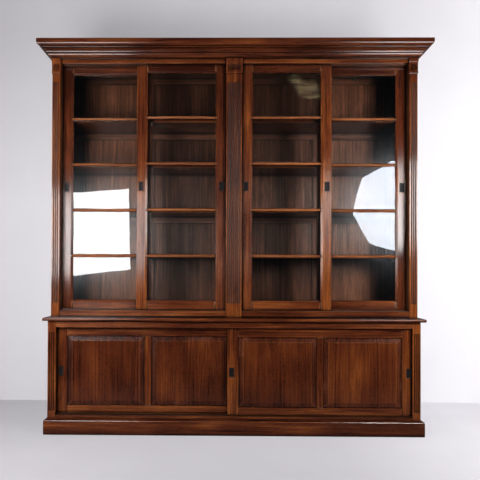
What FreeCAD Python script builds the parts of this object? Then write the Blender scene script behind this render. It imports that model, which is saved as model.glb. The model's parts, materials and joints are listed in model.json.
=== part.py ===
# Library bookcase in two parts, in millimetres.
# The origin is the middle of the footprint on the floor, X runs to the right, Y to the back and Z up.
import FreeCAD, Part
import Sketcher
import os
import re

document = FreeCAD.newDocument("LibraryBookcase")
sizes = document.addObject("Spreadsheet::Sheet", "Sizes")

# Sizes that can be changed, each by itself
measures = {
    # Sizes of the whole
    "total_height": 2400,  # floor to the top of the cornice
    "upper_width": 2244,  # glazed cabinet, side to side
    "upper_depth": 435,  # glazed cabinet, front to back
    "base_side_step": 10,  # base past the upper cabinet at each side
    "base_front_step": 30,  # base past the upper cabinet at the front
    "base_height": 689,  # floor to the underside of the ledge

    # Cornice
    "cornice_projection": 78,  # reach past the upper cabinet at the front and sides
    "cornice_height": 96,  # height of the moulding
    "cornice_backing": 6,  # part of the moulding that lies behind the pilaster faces
    "ovolo_radius": 20,  # round under the top band
    "bead_radius": 3.5,  # small bead
    "bead_setback": 2,  # fillet above the bead
    "fillet_step": 7,  # step under the bead, inwards and down
    "cove_setback": 3,  # step above the hollow
    "cove_drop": 16,  # hollow, down
    "cove_fullness": 0.79,  # hollow's radius, as a share of its chord
    "torus_setback": 4,  # step under the hollow
    "torus_width": 19,  # big round at the bottom, across
    "torus_drop": 22,  # big round at the bottom, down
    "torus_fullness": 0.76,  # big round's radius, as a share of its chord
    "toe_setback": 2,  # step under the big round
    "toe_height": 5,  # lowest flat band
    "cornice_toe": 3,  # lowest band past the cabinet
    "top_cover_drop": 4,  # cover board, below the top of the cornice
    "top_cover_thickness": 16,  # cover board
    "cornice_frame_thickness": 20,  # boards of the frame inside the cornice

    # Boards of the two cabinets
    "upper_side_thickness": 22,  # sides of the upper cabinet
    "base_side_thickness": 24,  # sides of the base
    "partition_thickness": 22,  # upright board between the bays
    "top_board_thickness": 22,  # top of the upper cabinet
    "top_board_rise": 12,  # underside of the top board, above the cornice's lower edge
    "upper_floor_thickness": 20,  # floor of the upper cabinet
    "base_floor_thickness": 20,  # floor of the base
    "ledge_thickness": 19,  # waist ledge
    "ledge_overhang": 28,  # ledge past the base at the front and sides
    "ledge_rounding": 8,  # radius along the ledge's edges

    # Plinth
    "plinth_thickness": 20,  # plinth boards
    "plinth_front_height": 85,  # plinth at its outer face
    "plinth_height": 98,  # plinth against the base

    # Face frame of the base
    "base_stile_width": 48,  # upright at each side
    "base_stile_thickness": 20,  # uprights and rails of the base front
    "base_top_rail_height": 40,  # rail under the ledge
    "base_sill_lip": 14,  # bottom rail above the plinth
    "base_bottom_rail_height": 52,  # bottom rail, partly behind the plinth

    # Face frame of the upper cabinet
    "side_pilaster_width": 48,  # pilaster at each side
    "centre_pilaster_width": 96,  # pilaster in the middle
    "pilaster_thickness": 22,  # pilasters
    "sill_height": 42,  # bottom rail's top above the ledge
    "sill_setback": 2,  # bottom rail behind the pilaster faces
    "sill_foot": 9,  # shadow gap under the bottom rail's face
    "sill_foot_setback": 6,  # depth of that gap
    "frieze_drop": 28,  # frieze below the cornice

    # Capital, neck and flutes
    "abacus_height": 24,  # plain block at the top of the capital
    "abacus_flare": 5,  # block past the pilaster's sides
    "abacus_proud": 5,  # block past the pilaster's face
    "flare_height": 16,  # slope under the block
    "drum_height": 45,  # fluted part of the capital
    "drum_flare": 2.5,  # fluted part past the pilaster's sides
    "drum_proud": 2.5,  # fluted part past the pilaster's face
    "neck_bead_height": 10,  # round moulding under the capital
    "neck_bead_proud": 3.5,  # round moulding past the pilaster
    "neck_height": 53,  # plain stretch between the round moulding and the flutes
    "foot_block_height": 87,  # plain foot of each pilaster
    "flute_pitch": 13.2,  # from flute to flute
    "flute_radius": 4.6,  # hollow of each flute
    "flute_depth": 3.6,  # depth of each flute
    "short_flute_margin": 5,  # plain edge above and below the short flutes
    "centre_flute_count": 7,  # flutes on the middle pilaster
    "side_flute_count": 3,  # flutes on the side pilasters and on the base's uprights
    "base_flute_low": 140,  # lower end of the flutes of the base
    "base_flute_top_margin": 69,  # plain stretch above the flutes of the base

    # Glazed doors
    "glazed_door_thickness": 30,  # frame of a glazed door
    "glazed_door_gap": 12,  # room between the front and the rear door
    "glazed_door_overlap": 80,  # how far the two doors of a bay overlap
    "track_clearance": 2,  # front door to the face frame, and door to the floor
    "door_side_clearance": 1,  # door to the upright that it closes on
    "door_hidden_top": 8,  # door behind the rail above it
    "glazed_stile_width": 65,  # stile, with its bevel
    "glazed_top_rail": 62,  # top rail, with its bevel
    "glazed_bottom_rail": 60,  # bottom rail, with its bevel
    "glazing_bar_width": 20,  # glazing bar, with its bevels
    "bevel_width": 12,  # bevel of a frame, across
    "bar_bevel_width": 6,  # bevel of a glazing bar, across
    "bevel_depth": 8,  # bevel of frame and bars, into the thickness
    "rebate_width": 7,  # rebate for the glass
    "rebate_lip": 12,  # wood in front of the glass
    "pane_thickness": 3,  # glass
    "pane_clearance": 1.5,  # glass to the edge of its rebate
    "glass_bead_thickness": 9,  # strips that hold the glass
    "pane_count": 5,  # panes of a door, one above the other

    # Base doors
    "base_door_thickness": 26,  # frame of a base door
    "base_door_gap": 10,  # room between the front and the rear door
    "base_door_overlap": 72,  # how far the two doors overlap
    "base_door_hidden_side": 10,  # door behind the upright that it closes on
    "base_door_stile": 67,  # outer stiles
    "base_door_mid_stile": 42,  # middle stile
    "base_door_top_rail": 67,  # top rail
    "base_door_bottom_rail": 48,  # bottom rail
    "panel_edge_bevel": 4,  # small bevel round each panel opening
    "panel_tongue": 9,  # panel's edge inside its groove
    "panel_tongue_thickness": 8,  # thickness of that edge
    "panel_groove_lip": 9,  # wood in front of the groove
    "panel_clearance": 1,  # room at the edge of the panel
    "panel_field_margin": 30,  # sloping border of a raised panel
    "panel_field_setback": 3,  # raised field behind the frame's face, before its step
    "panel_field_step": 1.5,  # square step round the raised field

    # Tracks
    "runner_width": 8,  # wooden runner under a door
    "runner_height": 8,  # wooden runner under a door
    "running_gap": 0.3,  # door to its runner
    "runner_side_gap": 1,  # runner to the side of the door's groove
    "guide_groove_depth": 18,  # groove that holds the top of a door
    "guide_side_gap": 1,  # door to the side of that groove
    "guide_rise": 2,  # underside of a guide above the rail in front of it
    "track_back_margin": 8,  # wood behind the rear door

    # Flush pulls
    "pull_width": 30,  # plate of a pull
    "pull_height": 58,  # plate of a pull
    "pull_plate": 1.2,  # thickness of the plate and of the cup's walls
    "pull_depth": 10,  # cup of a pull
    "pull_rim": 2.5,  # plate round the cup
    "pull_inset": 26,  # middle of a pull from the edge of its door
    "pull_fit": 0.1,  # room round a pull in its recess
    "upper_pull_height": 1518,  # middle of the upper pulls above the floor
    "base_pull_height": 375,  # middle of the base's pulls above the floor

    # Shelves
    "shelf_thickness": 22,  # shelves of the upper cabinet
    "shelf_end_gap": 0.5,  # shelf to the boards beside and behind it
    "batten_width": 16,  # strip that carries a shelf
    "batten_height": 18,  # strip that carries a shelf
    "base_shelf_height": 390,  # underside of the base's shelves above the floor
    "base_shelf_thickness": 20,  # shelves of the base
    "base_shelf_setback": 20,  # base's shelves behind the tracks

    # Framed backs
    "back_frame_thickness": 18,  # stiles and rails of the backs
    "back_stile_width": 60,  # stiles of the backs
    "back_centre_stile_width": 100,  # stile behind the partition
    "back_rail_width": 90,  # rails of the upper back
    "back_rail_rise": 5,  # rail's middle below the shelf that it backs
    "back_top_rail_drop": 40,  # top rail of the upper back, below the top board
    "back_bottom_rail_rise": 40,  # bottom rail of the upper back, above the floor board
    "back_panel_thickness": 6,  # flat panels
    "back_panel_engagement": 8,  # panel's edge inside the frame
    "notch_radius": 15,  # half-round notch in the top rail of the back
    "base_back_rail_width": 80,  # rails of the base's back
}

# Planes, levels and widths that follow from them
derived = {
    "base_width": "upper_width + 2 * base_side_step",  # base cabinet, side to side
    "base_depth": "upper_depth + base_front_step",  # base cabinet, front to back
    "back_plane": "(upper_depth + cornice_projection) / 2",  # back of both cabinets
    "upper_face": "back_plane - upper_depth",  # faces of the pilasters
    "base_face": "back_plane - base_depth",  # front of the base
    "cornice_bottom": "total_height - cornice_height",  # lower edge of the cornice
    "frieze_bottom": "cornice_bottom - frieze_drop",  # lower edge of the frieze
    "ledge_top": "base_height + ledge_thickness",  # top of the ledge
    "sill_top": "ledge_top + sill_height",  # floor of the upper cabinet
    "top_board_bottom": "cornice_bottom + top_board_rise",  # ceiling of the upper cabinet
    "top_board_top": "top_board_bottom + top_board_thickness",  # top of the upper cabinet's boards
    "base_floor_top": "plinth_height + base_sill_lip",  # floor of the base
    "base_rail_bottom": "base_height - base_top_rail_height",  # lower edge of the rail under the ledge
    "frame_back": "upper_face + pilaster_thickness",  # back of the upper face frame
    "base_frame_back": "base_face + base_stile_thickness",  # back of the base's face frame
    "back_frame_face": "back_plane - back_frame_thickness",  # inner face of both backs
    "side_inner": "upper_width / 2 - upper_side_thickness",  # inner face of the upper sides
    "base_side_inner": "base_width / 2 - base_side_thickness",  # inner face of the base's sides
    "bay_inner": "centre_pilaster_width / 2",  # inner end of a bay
    "bay_outer": "upper_width / 2 - side_pilaster_width",  # outer end of a bay
    "bay_width": "bay_outer - bay_inner",  # bay between pilasters
    "base_bay": "base_width / 2 - base_stile_width",  # half the opening of the base
    "front_door_face": "frame_back + track_clearance",  # glazed doors in the front track
    "door_pitch": "glazed_door_thickness + glazed_door_gap",  # front track to rear track
    # both tracks
    "track_depth": "track_clearance + door_pitch + glazed_door_thickness + track_back_margin",
    "track_back": "frame_back + track_depth",  # back of the tracks, where the shelves begin
    "base_front_door_face": "base_frame_back + track_clearance",  # base door in the front track
    "base_door_pitch": "base_door_thickness + base_door_gap",  # front track to rear track of the base
    # both tracks of the base
    "base_track_depth": "track_clearance + base_door_pitch + base_door_thickness + track_back_margin",
    "base_track_back": "base_frame_back + base_track_depth",  # back of the base's tracks
    "glazed_door_width": "(bay_width + glazed_door_overlap) / 2 - door_side_clearance",  # glazed door
    "glazed_door_bottom": "sill_top + track_clearance",  # lower edge of the glazed doors
    "glazed_door_height": "frieze_bottom + door_hidden_top - glazed_door_bottom",  # glazed door
    "pane_sight_width": "glazed_door_width - 2 * glazed_stile_width",  # glass that shows, across
    # glass that shows, upright
    "pane_sight_height": "(glazed_door_height - glazed_top_rail - glazed_bottom_rail"
        " - (pane_count - 1) * glazing_bar_width) / pane_count",
    "pane_pitch": "pane_sight_height + glazing_bar_width",  # from pane to pane
    "base_track_end": "base_bay + base_door_hidden_side",  # end of the base's tracks
    "base_door_width": "base_track_end + base_door_overlap / 2 - door_side_clearance",  # base door
    "base_door_bottom": "base_floor_top + track_clearance",  # lower edge of the base doors
    "base_door_height": "base_rail_bottom + door_hidden_top - base_door_bottom",  # base door
    # panel opening, across
    "panel_sight_width": "(base_door_width - 2 * base_door_stile - base_door_mid_stile) / 2",
    # panel opening, upright
    "panel_sight_height": "base_door_height - base_door_top_rail - base_door_bottom_rail",
    "runner_slot": "runner_height + running_gap - track_clearance",  # groove under each door
    # hollow, across
    "cove_width": "cornice_projection - ovolo_radius - bead_setback - fillet_step - cove_setback"
        " - cornice_toe - toe_setback - torus_width - torus_setback",
    "cove_radius": "cove_fullness * sqrt(cove_width ^ 2 + cove_drop ^ 2)",  # hollow
    "torus_radius": "torus_fullness * sqrt(torus_width ^ 2 + torus_drop ^ 2)",  # big round
}

for row, (name, value) in enumerate([*measures.items(), *derived.items()], start=1):
    sizes.set("A%d" % row, name)
    sizes.set("B%d" % row, str(value) if name in measures else "=" + value)
    sizes.setAlias("B%d" % row, name)
document.recompute()


def tied(text):
    """The same formula with every size looked up in the sheet."""
    return re.sub(r"[a-z][a-z_]+", lambda word: "Sizes." + word.group(), text)


def number(text):
    """The present value of a formula, in millimetres."""
    return float(sizes.evalExpression(tied(text)))


def place(piece, x, y, z):
    for axis, text in zip("xyz", (x, y, z)):
        piece.setExpression("Placement.Base." + axis, tied(text))
    return piece


def board(name, corner, extent):
    """A squared board, from its left front lower corner."""
    piece = document.addObject("Part::Box", name)
    for edge, text in zip(("Length", "Width", "Height"), extent):
        piece.setExpression(edge, tied(text))
    return place(piece, *corner)


def frustum(name, corner, front, back, depth):
    """A block whose front and back rectangles differ; each is given as low x, high x, low z, high z."""
    piece = document.addObject("Part::Wedge", name)
    piece.Ymin = 0
    piece.setExpression("Ymax", tied(depth))
    for edge, text in zip(("Xmin", "Xmax", "Zmin", "Zmax"), front):
        piece.setExpression(edge, tied(text))
    for edge, text in zip(("X2min", "X2max", "Z2min", "Z2max"), back):
        piece.setExpression(edge, tied(text))
    return place(piece, *corner)


def group(name, pieces):
    """Separate solids that share one node."""
    together = document.addObject("Part::Compound", name)
    together.Links = pieces
    return together


def joined(name, pieces):
    """One solid out of several."""
    whole = document.addObject("Part::MultiFuse", name)
    whole.Shapes = pieces
    return whole


def cut(name, piece, tool):
    result = document.addObject("Part::Cut", name)
    result.Base = piece
    result.Tool = tool
    return result


def mirrored(name, piece):
    """The same piece on the other side of the middle plane."""
    twin = document.addObject("Part::Mirroring", name)
    twin.Source = piece
    twin.Normal = FreeCAD.Vector(1, 0, 0)
    return twin


def origin_item(body, role):
    return next(item for item in body.Origin.OriginFeatures if item.Role == role)


def sketch_on(body, name, plane, offset=("0", "0", "0")):
    sketch = body.newObject("Sketcher::SketchObject", name)
    sketch.AttachmentSupport = [(origin_item(body, plane), "")]
    sketch.MapMode = "FlatFace"
    for axis, text in zip("xyz", offset):
        sketch.setExpression("AttachmentOffset.Base." + axis, tied(text))
    return sketch


def pin_point(sketch, edge, end, x, y):
    """Holds one end of an edge at a place given by two formulas."""
    for kind, axis, text in (("DistanceX", -2, x), ("DistanceY", -1, y)):
        if text == "0":
            sketch.addConstraint(Sketcher.Constraint("PointOnObject", edge, end, axis))
            continue
        row = sketch.addConstraint(Sketcher.Constraint(kind, -1, 1, edge, end, number(text)))
        sketch.setExpression("Constraints[%d]" % row, tied(text))


def outline(sketch, corners, rounds=None):
    """A closed outline. rounds gives, for an edge by its number, a radius and the side that it swells to."""
    rounds = rounds or {}
    points = [FreeCAD.Vector(number(x), number(y), 0) for x, y in corners]
    count = len(points)
    ends = []
    for edge in range(count):
        start, finish = points[edge], points[(edge + 1) % count]
        if edge in rounds:
            radius_text, side = rounds[edge]
            radius = number(radius_text)
            chord = finish - start
            half = chord.Length / 2
            across = FreeCAD.Vector(-chord.y, chord.x, 0).normalize()
            rise = radius - max(radius ** 2 - half ** 2, 0) ** 0.5
            middle = start + chord * 0.5 + across * (side * rise)
            # an arc is always drawn anticlockwise, so a hollow one runs backwards
            if side < 0:
                sketch.addGeometry(Part.Arc(start, middle, finish), False)
                ends.append((1, 2))
            else:
                sketch.addGeometry(Part.Arc(finish, middle, start), False)
                ends.append((2, 1))
        else:
            sketch.addGeometry(Part.LineSegment(start, finish), False)
            ends.append((1, 2))
    for edge in range(count):
        following = (edge + 1) % count
        sketch.addConstraint(
            Sketcher.Constraint("Coincident", edge, ends[edge][1], following, ends[following][0]))
        pin_point(sketch, edge, ends[edge][0], *corners[edge])
    for edge, (radius_text, side) in rounds.items():
        row = sketch.addConstraint(Sketcher.Constraint("Radius", edge, number(radius_text)))
        sketch.setExpression("Constraints[%d]" % row, tied(radius_text))


def rectangle(sketch, width, height):
    outline(sketch, [("0", "0"), (width, "0"), (width, height), ("0", height)])


def pad(body, name, sketch, length, middle=False, backwards=False):
    feature = body.newObject("PartDesign::Pad", name)
    feature.Profile = sketch
    feature.setExpression("Length", tied(length))
    feature.Midplane = middle
    feature.Reversed = backwards
    return feature


def loft(body, name, low, high):
    feature = body.newObject("PartDesign::AdditiveLoft", name)
    feature.Profile = low
    feature.Sections = [high]
    feature.Ruled = True
    return feature


def rounded(body, name, base, radius, wanted):
    """Rounds the edges of a body for which wanted(edge) is true."""
    document.recompute()
    chosen = ["Edge%d" % (place_in_list + 1)
              for place_in_list, edge in enumerate(base.Shape.Edges) if wanted(edge)]
    feature = body.newObject("PartDesign::Fillet", name)
    feature.Base = (base, chosen)
    feature.setExpression("Radius", tied(radius))
    return feature


def mitre(body, name, corners):
    """Cuts a three-cornered piece off a moulding, all the way up."""
    sketch = sketch_on(body, name + "_line", "XY_Plane")
    outline(sketch, corners)
    feature = body.newObject("PartDesign::Pocket", name)
    feature.Profile = sketch
    feature.Type = "ThroughAll"
    feature.Reversed = True
    return feature


def front_moulding(name, corners, rounds, depth, half_length, corner):
    """A moulding along X, mitred at both ends. Its profile starts at its front lower edge."""
    body = document.addObject("PartDesign::Body", name)
    profile = sketch_on(body, name + "_profile", "YZ_Plane")
    outline(profile, corners, rounds)
    pad(body, name + "_length", profile, "2 * (" + half_length + ")", middle=True)
    half = "(" + half_length + ")"
    inner = half + " - (" + depth + ")"
    end = mitre(body, name + "_mitre", [(half, "0"), (half, depth), (inner, depth)])
    both = body.newObject("PartDesign::Mirrored", name + "_both_mitres")
    both.Originals = [end]
    both.MirrorPlane = (origin_item(body, "YZ_Plane"), [""])
    body.Tip = both
    return place(body, *corner)


def return_moulding(name, corners, rounds, depth, length, corner):
    """The same moulding along the left side, mitred at its front end."""
    body = document.addObject("PartDesign::Body", name)
    profile = sketch_on(body, name + "_profile", "XZ_Plane")
    outline(profile, corners, rounds)
    pad(body, name + "_length", profile, length, backwards=True)
    mitre(body, name + "_mitre", [("0", "0"), (depth, "0"), (depth, depth)])
    return place(body, *corner)


def flutes(body, name, count, first, face, low, length, end="flute_radius"):
    """A row of round hollows, turned about lines in front of the face. Each end slopes out over a length."""
    axis_line = face + " + flute_depth - flute_radius"
    section = sketch_on(body, name + "_section", "YZ_Plane", (axis_line, low, first))
    top = "(" + length + ")"
    outline(section, [("0", "0"), ("flute_radius", end), ("flute_radius", top + " - " + end), ("0", top)])
    hollow = body.newObject("PartDesign::Groove", name + "_hollow")
    hollow.Profile = section
    hollow.ReferenceAxis = (section, ["V_Axis"])
    hollow.Angle = 360
    row = body.newObject("PartDesign::LinearPattern", name)
    row.Originals = [hollow]
    row.Direction = (origin_item(body, "X_Axis"), [""])
    row.setExpression("Length", tied("flute_pitch * (" + count + " - 1)"))
    row.setExpression("Occurrences", tied(count))
    body.Tip = row
    return row


def first_flute(width, count):
    return "(" + width + " - flute_pitch * (" + count + " - 1)) / 2"


def fluted_upright(name, width, thickness, height, count, low, top_margin, corner):
    body = document.addObject("PartDesign::Body", name)
    section = sketch_on(body, name + "_section", "XY_Plane")
    rectangle(section, width, thickness)
    pad(body, name + "_shaft", section, height)
    length = height + " - " + low + " - (" + top_margin + ")"
    flutes(body, name + "_flutes", count, first_flute(width, count), "0", low, length)
    return place(body, *corner)


def collar(body, name, width, flare, proud, level):
    """A rectangle round the front and sides of a pilaster, at a level above its foot."""
    sketch = sketch_on(body, name, "XY_Plane", ("-" + flare, "-" + proud, level))
    rectangle(sketch, width + " + 2 * " + flare, proud + " + cornice_backing")
    return sketch


def pilaster(name, width, count, left):
    """A fluted shaft with a plain foot, and above its neck a flared capital that has short flutes."""
    height = "cornice_bottom - ledge_top"
    body = document.addObject("PartDesign::Body", name)
    section = sketch_on(body, name + "_section", "XY_Plane")
    rectangle(section, width, "pilaster_thickness")
    pad(body, name + "_shaft", section, height)

    abacus_low = height + " - abacus_height"
    flare_low = abacus_low + " - flare_height"
    drum_low = flare_low + " - drum_height"
    bead_low = drum_low + " - neck_bead_height"
    bead = collar(body, name + "_neck_bead_plan", width, "neck_bead_proud", "neck_bead_proud", bead_low)
    ring = pad(body, name + "_neck_bead", bead, "neck_bead_height")

    def outer_edge(edge):
        box = edge.BoundBox
        low, high = number(bead_low), number(drum_low)
        level = min(abs(box.ZMin - low), abs(box.ZMin - high)) < 0.01 and box.ZLength < 0.01
        proud = number("neck_bead_proud")
        far = number(width) + proud
        front = abs(box.YMax + proud) < 0.01
        side = abs(box.XMax + proud) < 0.01 or abs(box.XMin - far) < 0.01
        return level and (front or side)

    rounded(body, name + "_neck_round", ring, "0.85 * neck_bead_proud", outer_edge)
    drum = collar(body, name + "_drum_plan", width, "drum_flare", "drum_proud", drum_low)
    pad(body, name + "_drum", drum, "drum_height")
    low = collar(body, name + "_flare_low", width, "drum_flare", "drum_proud", flare_low)
    high = collar(body, name + "_flare_high", width, "abacus_flare", "abacus_proud", abacus_low)
    loft(body, name + "_flare", low, high)
    block = collar(body, name + "_abacus_plan", width, "abacus_flare", "abacus_proud", abacus_low)
    pad(body, name + "_abacus", block, "abacus_height")

    first = first_flute(width, count)
    shaft_top = bead_low + " - neck_height"
    flutes(body, name + "_long_flutes", count, first, "0", "foot_block_height",
           shaft_top + " - foot_block_height")
    flutes(body, name + "_short_flutes", count, first, "-drum_proud",
           drum_low + " + short_flute_margin", "drum_height - 2 * short_flute_margin", "0")
    return place(body, left, "upper_face", "ledge_top")


def framed_back(name, stiles, rails, low, high, notched=False):
    """Stiles and rails with flat panels in their grooves. Stiles and rails are given by their two edges."""
    panels = []
    members = []
    engaged = "back_panel_engagement"
    groove = "back_frame_face + (back_frame_thickness - back_panel_thickness) / 2"
    for column, (stile, following) in enumerate(zip(stiles, stiles[1:])):
        left, right = stile[1], following[0]
        for row, (rail, above) in enumerate(zip(rails, rails[1:])):
            width = "(" + right + ") - (" + left + ") + 2 * " + engaged
            height = "(" + above[0] + ") - (" + rail[1] + ") + 2 * " + engaged
            corner = ("(" + left + ") - " + engaged, groove, "(" + rail[1] + ") - " + engaged)
            panel = board("%s_panel_%d_%d" % (name, column + 1, row + 1), corner,
                          (width, "back_panel_thickness", height))
            panels.append(panel)
        for row, rail in enumerate(rails):
            corner = (left, "back_frame_face", rail[0])
            extent = ("(" + right + ") - (" + left + ")", "back_frame_thickness",
                      "(" + rail[1] + ") - (" + rail[0] + ")")
            member = board("%s_rail_%d_%d" % (name, column + 1, row + 1), corner, extent)
            if notched and row == len(rails) - 1:
                member = cut(member.Name + "_notched", member, notch(member.Name, left, right))
            members.append(member)
    for column, (left, right) in enumerate(stiles):
        extent = ("(" + right + ") - (" + left + ")", "back_frame_thickness", high + " - (" + low + ")")
        members.append(board("%s_stile_%d" % (name, column + 1), (left, "back_frame_face", low), extent))
    panels = group(name + "_panels", panels)
    grooved = [cut(member.Name + "_grooved", member, panels) for member in members]
    return group(name + "_frame", grooved), panels


def notch(name, left, right):
    """A half-round notch at the ceiling, in the middle between two stiles."""
    tool = document.addObject("Part::Cylinder", name + "_notch")
    tool.setExpression("Radius", tied("notch_radius"))
    tool.setExpression("Height", tied("back_frame_thickness"))
    tool.Placement.Rotation = FreeCAD.Rotation(FreeCAD.Vector(1, 0, 0), -90)
    return place(tool, "((" + left + ") + (" + right + ")) / 2", "back_frame_face", "top_board_bottom")


def pull_boxes(name, centre_x, face, centre_z, fit):
    """The plate and the cup of a flush pull, each grown by a fit."""
    half_width = "pull_width / 2 + " + fit
    half_height = "pull_height / 2 + " + fit
    low = centre_z + " - (" + half_height + ")"
    left = centre_x + " - (" + half_width + ")"
    plate = board(name + "_plate", (left, face, low),
                  ("2 * (" + half_width + ")", "pull_plate", "2 * (" + half_height + ")"))
    cup = board(name + "_cup", (left + " + pull_rim", face, low + " + pull_rim"),
                ("2 * (" + half_width + " - pull_rim)", "pull_depth + " + fit,
                 "2 * (" + half_height + " - pull_rim)"))
    return [plate, cup]


def flush_pull(name, centre_x, face, centre_z):
    """A plate with an open box behind it, for the fingers."""
    solid = joined(name + "_blank", pull_boxes(name, centre_x, face, centre_z, "0"))
    wall = "pull_rim + pull_plate"
    width = "pull_width - 2 * (" + wall + ")"
    height = "pull_height - 2 * (" + wall + ")"
    corner = (centre_x + " - (" + width + ") / 2", face, centre_z + " - (" + height + ") / 2")
    hollow = board(name + "_hollow", corner, (width, "pull_depth - pull_plate", height))
    return cut(name + "_cut", solid, hollow)


def door_pulls(name, left, width, face, centre_z, sides):
    """The pulls of one door, and the recesses that its stiles need for them."""
    pulls = []
    recesses = []
    for side in sides:
        if side == "left":
            centre_x = "(" + left + ") + pull_inset"
        else:
            centre_x = "(" + left + ") + " + width + " - pull_inset"
        label = name + "_" + side + "_pull"
        pulls.append(flush_pull(label, centre_x, face, centre_z))
        recesses.append(joined(label + "_recess",
                               pull_boxes(label + "_recess", centre_x, face, centre_z, "pull_fit")))
    return group(name + "_pulls", pulls), recesses


def runner_groove(name, left, width, face, thickness, bottom):
    slot = "(runner_width + 2 * runner_side_gap)"
    corner = (left, face + " + (" + thickness + " - " + slot + ") / 2", bottom)
    return board(name + "_runner_groove", corner, (width, slot, "runner_slot"))


def glazed_door(name, left, face, sides):
    """A sliding door of five panes. Bevels and rebates are cut into stiles, rails and bars alike."""
    width, height = "glazed_door_width", "glazed_door_height"
    bottom, thickness = "glazed_door_bottom", "glazed_door_thickness"
    stile, sight = "glazed_stile_width", "pane_sight_width"
    inner = "(" + left + ") + " + stile
    count = int(number("pane_count"))
    pulls, cutters = door_pulls(name, left, width, face, "upper_pull_height", sides)
    cutters.append(runner_groove(name, left, width, face, thickness, bottom))
    panes = []
    strips = []
    for pane in range(count):
        label = "%s_pane_%d" % (name, pane + 1)
        low = bottom + " + glazed_bottom_rail + %d * pane_pitch" % pane
        below = "bevel_width" if pane == 0 else "bar_bevel_width"
        above = "bevel_width" if pane == count - 1 else "bar_bevel_width"
        front = ("-bevel_width", sight + " + bevel_width", "-" + below, "pane_sight_height + " + above)
        back = ("0", sight, "0", "pane_sight_height")
        cutters.append(frustum(label + "_bevel", (inner, face, low), front, back, "bevel_depth"))
        corner = (inner + " - rebate_width", face + " + rebate_lip", low + " - rebate_width")
        rebate = (sight + " + 2 * rebate_width", thickness + " - rebate_lip",
                  "pane_sight_height + 2 * rebate_width")
        cutters.append(board(label + "_rebate", corner, rebate))
        edge = "rebate_width - pane_clearance"
        corner = (inner + " - (" + edge + ")", face + " + rebate_lip", low + " - (" + edge + ")")
        panes.append(board(label, corner, (sight + " + 2 * (" + edge + ")", "pane_thickness",
                                           "pane_sight_height + 2 * (" + edge + ")")))
        strips += glass_strips(label, inner, face + " + rebate_lip + pane_thickness", low)
    tool = group(name + "_cuts", cutters)

    right = "(" + left + ") + " + width + " - " + stile
    between = width + " - 2 * " + stile
    frame = [board(name + "_left_stile", (left, face, bottom), (stile, thickness, height)),
             board(name + "_right_stile", (right, face, bottom), (stile, thickness, height)),
             board(name + "_bottom_rail", (inner, face, bottom), (between, thickness, "glazed_bottom_rail")),
             board(name + "_top_rail", (inner, face, bottom + " + " + height + " - glazed_top_rail"),
                   (between, thickness, "glazed_top_rail"))]
    bars = []
    for bar in range(1, count):
        low = bottom + " + glazed_bottom_rail + %d * pane_pitch - glazing_bar_width" % bar
        bars.append(board("%s_bar_%d" % (name, bar), (inner, face, low),
                          (between, thickness, "glazing_bar_width")))
    frame = [cut(member.Name + "_shaped", member, tool) for member in frame]
    bars = [cut(member.Name + "_shaped", member, tool) for member in bars]
    return [group(name + "_frame", frame), group(name + "_glazing_bars", bars + strips),
            group(name + "_panes", panes), pulls]


def glass_strips(name, inner, face, low):
    """Four thin strips that hold a pane in its rebate from behind."""
    long, tall = "pane_sight_width + 2 * rebate_width", "pane_sight_height"
    outer = inner + " - rebate_width"
    thick = "glass_bead_thickness"
    places = {"lower": ((outer, face, low + " - rebate_width"), (long, thick, "rebate_width")),
              "upper": ((outer, face, low + " + " + tall), (long, thick, "rebate_width")),
              "left": ((outer, face, low), ("rebate_width", thick, tall)),
              "right": ((inner + " + pane_sight_width", face, low), ("rebate_width", thick, tall))}
    return [board(name + "_" + side + "_strip", corner, extent)
            for side, (corner, extent) in places.items()]


def base_door(name, left, face, sides):
    """A sliding door with two raised panels."""
    width, height = "base_door_width", "base_door_height"
    bottom, thickness = "base_door_bottom", "base_door_thickness"
    stile, middle = "base_door_stile", "base_door_mid_stile"
    sight, tall = "panel_sight_width", "panel_sight_height"
    pulls, cutters = door_pulls(name, left, width, face, "base_pull_height", sides)
    cutters.append(runner_groove(name, left, width, face, thickness, bottom))
    low = bottom + " + base_door_bottom_rail"
    panels = []
    for column in range(2):
        label = "%s_panel_%d" % (name, column + 1)
        inner = "(" + left + ") + " + stile + " + %d * (" % column + sight + " + " + middle + ")"
        bevel = "panel_edge_bevel"
        cutters.append(frustum(label + "_edge", (inner, face, low),
                               ("-" + bevel, sight + " + " + bevel, "-" + bevel, tall + " + " + bevel),
                               ("0", sight, "0", tall), bevel))
        reach = "(panel_tongue + panel_clearance)"
        corner = (inner + " - " + reach, face + " + panel_groove_lip", low + " - " + reach)
        cutters.append(board(label + "_groove", corner, (sight + " + 2 * " + reach, "panel_tongue_thickness",
                                                         tall + " + 2 * " + reach)))
        panels.append(raised_panel(label, inner, face, low))
    tool = group(name + "_cuts", cutters)

    inner = "(" + left + ") + " + stile
    right = "(" + left + ") + " + width + " - " + stile
    between = width + " - 2 * " + stile
    top = bottom + " + " + height + " - base_door_top_rail"
    frame = [board(name + "_left_stile", (left, face, bottom), (stile, thickness, height)),
             board(name + "_right_stile", (right, face, bottom), (stile, thickness, height)),
             board(name + "_middle_stile", (inner + " + " + sight, face, low), (middle, thickness, tall)),
             board(name + "_bottom_rail", (inner, face, bottom),
                   (between, thickness, "base_door_bottom_rail")),
             board(name + "_top_rail", (inner, face, top), (between, thickness, "base_door_top_rail"))]
    frame = [cut(member.Name + "_shaped", member, tool) for member in frame]
    return [group(name + "_frame", frame), group(name + "_panels", panels), pulls]


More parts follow.
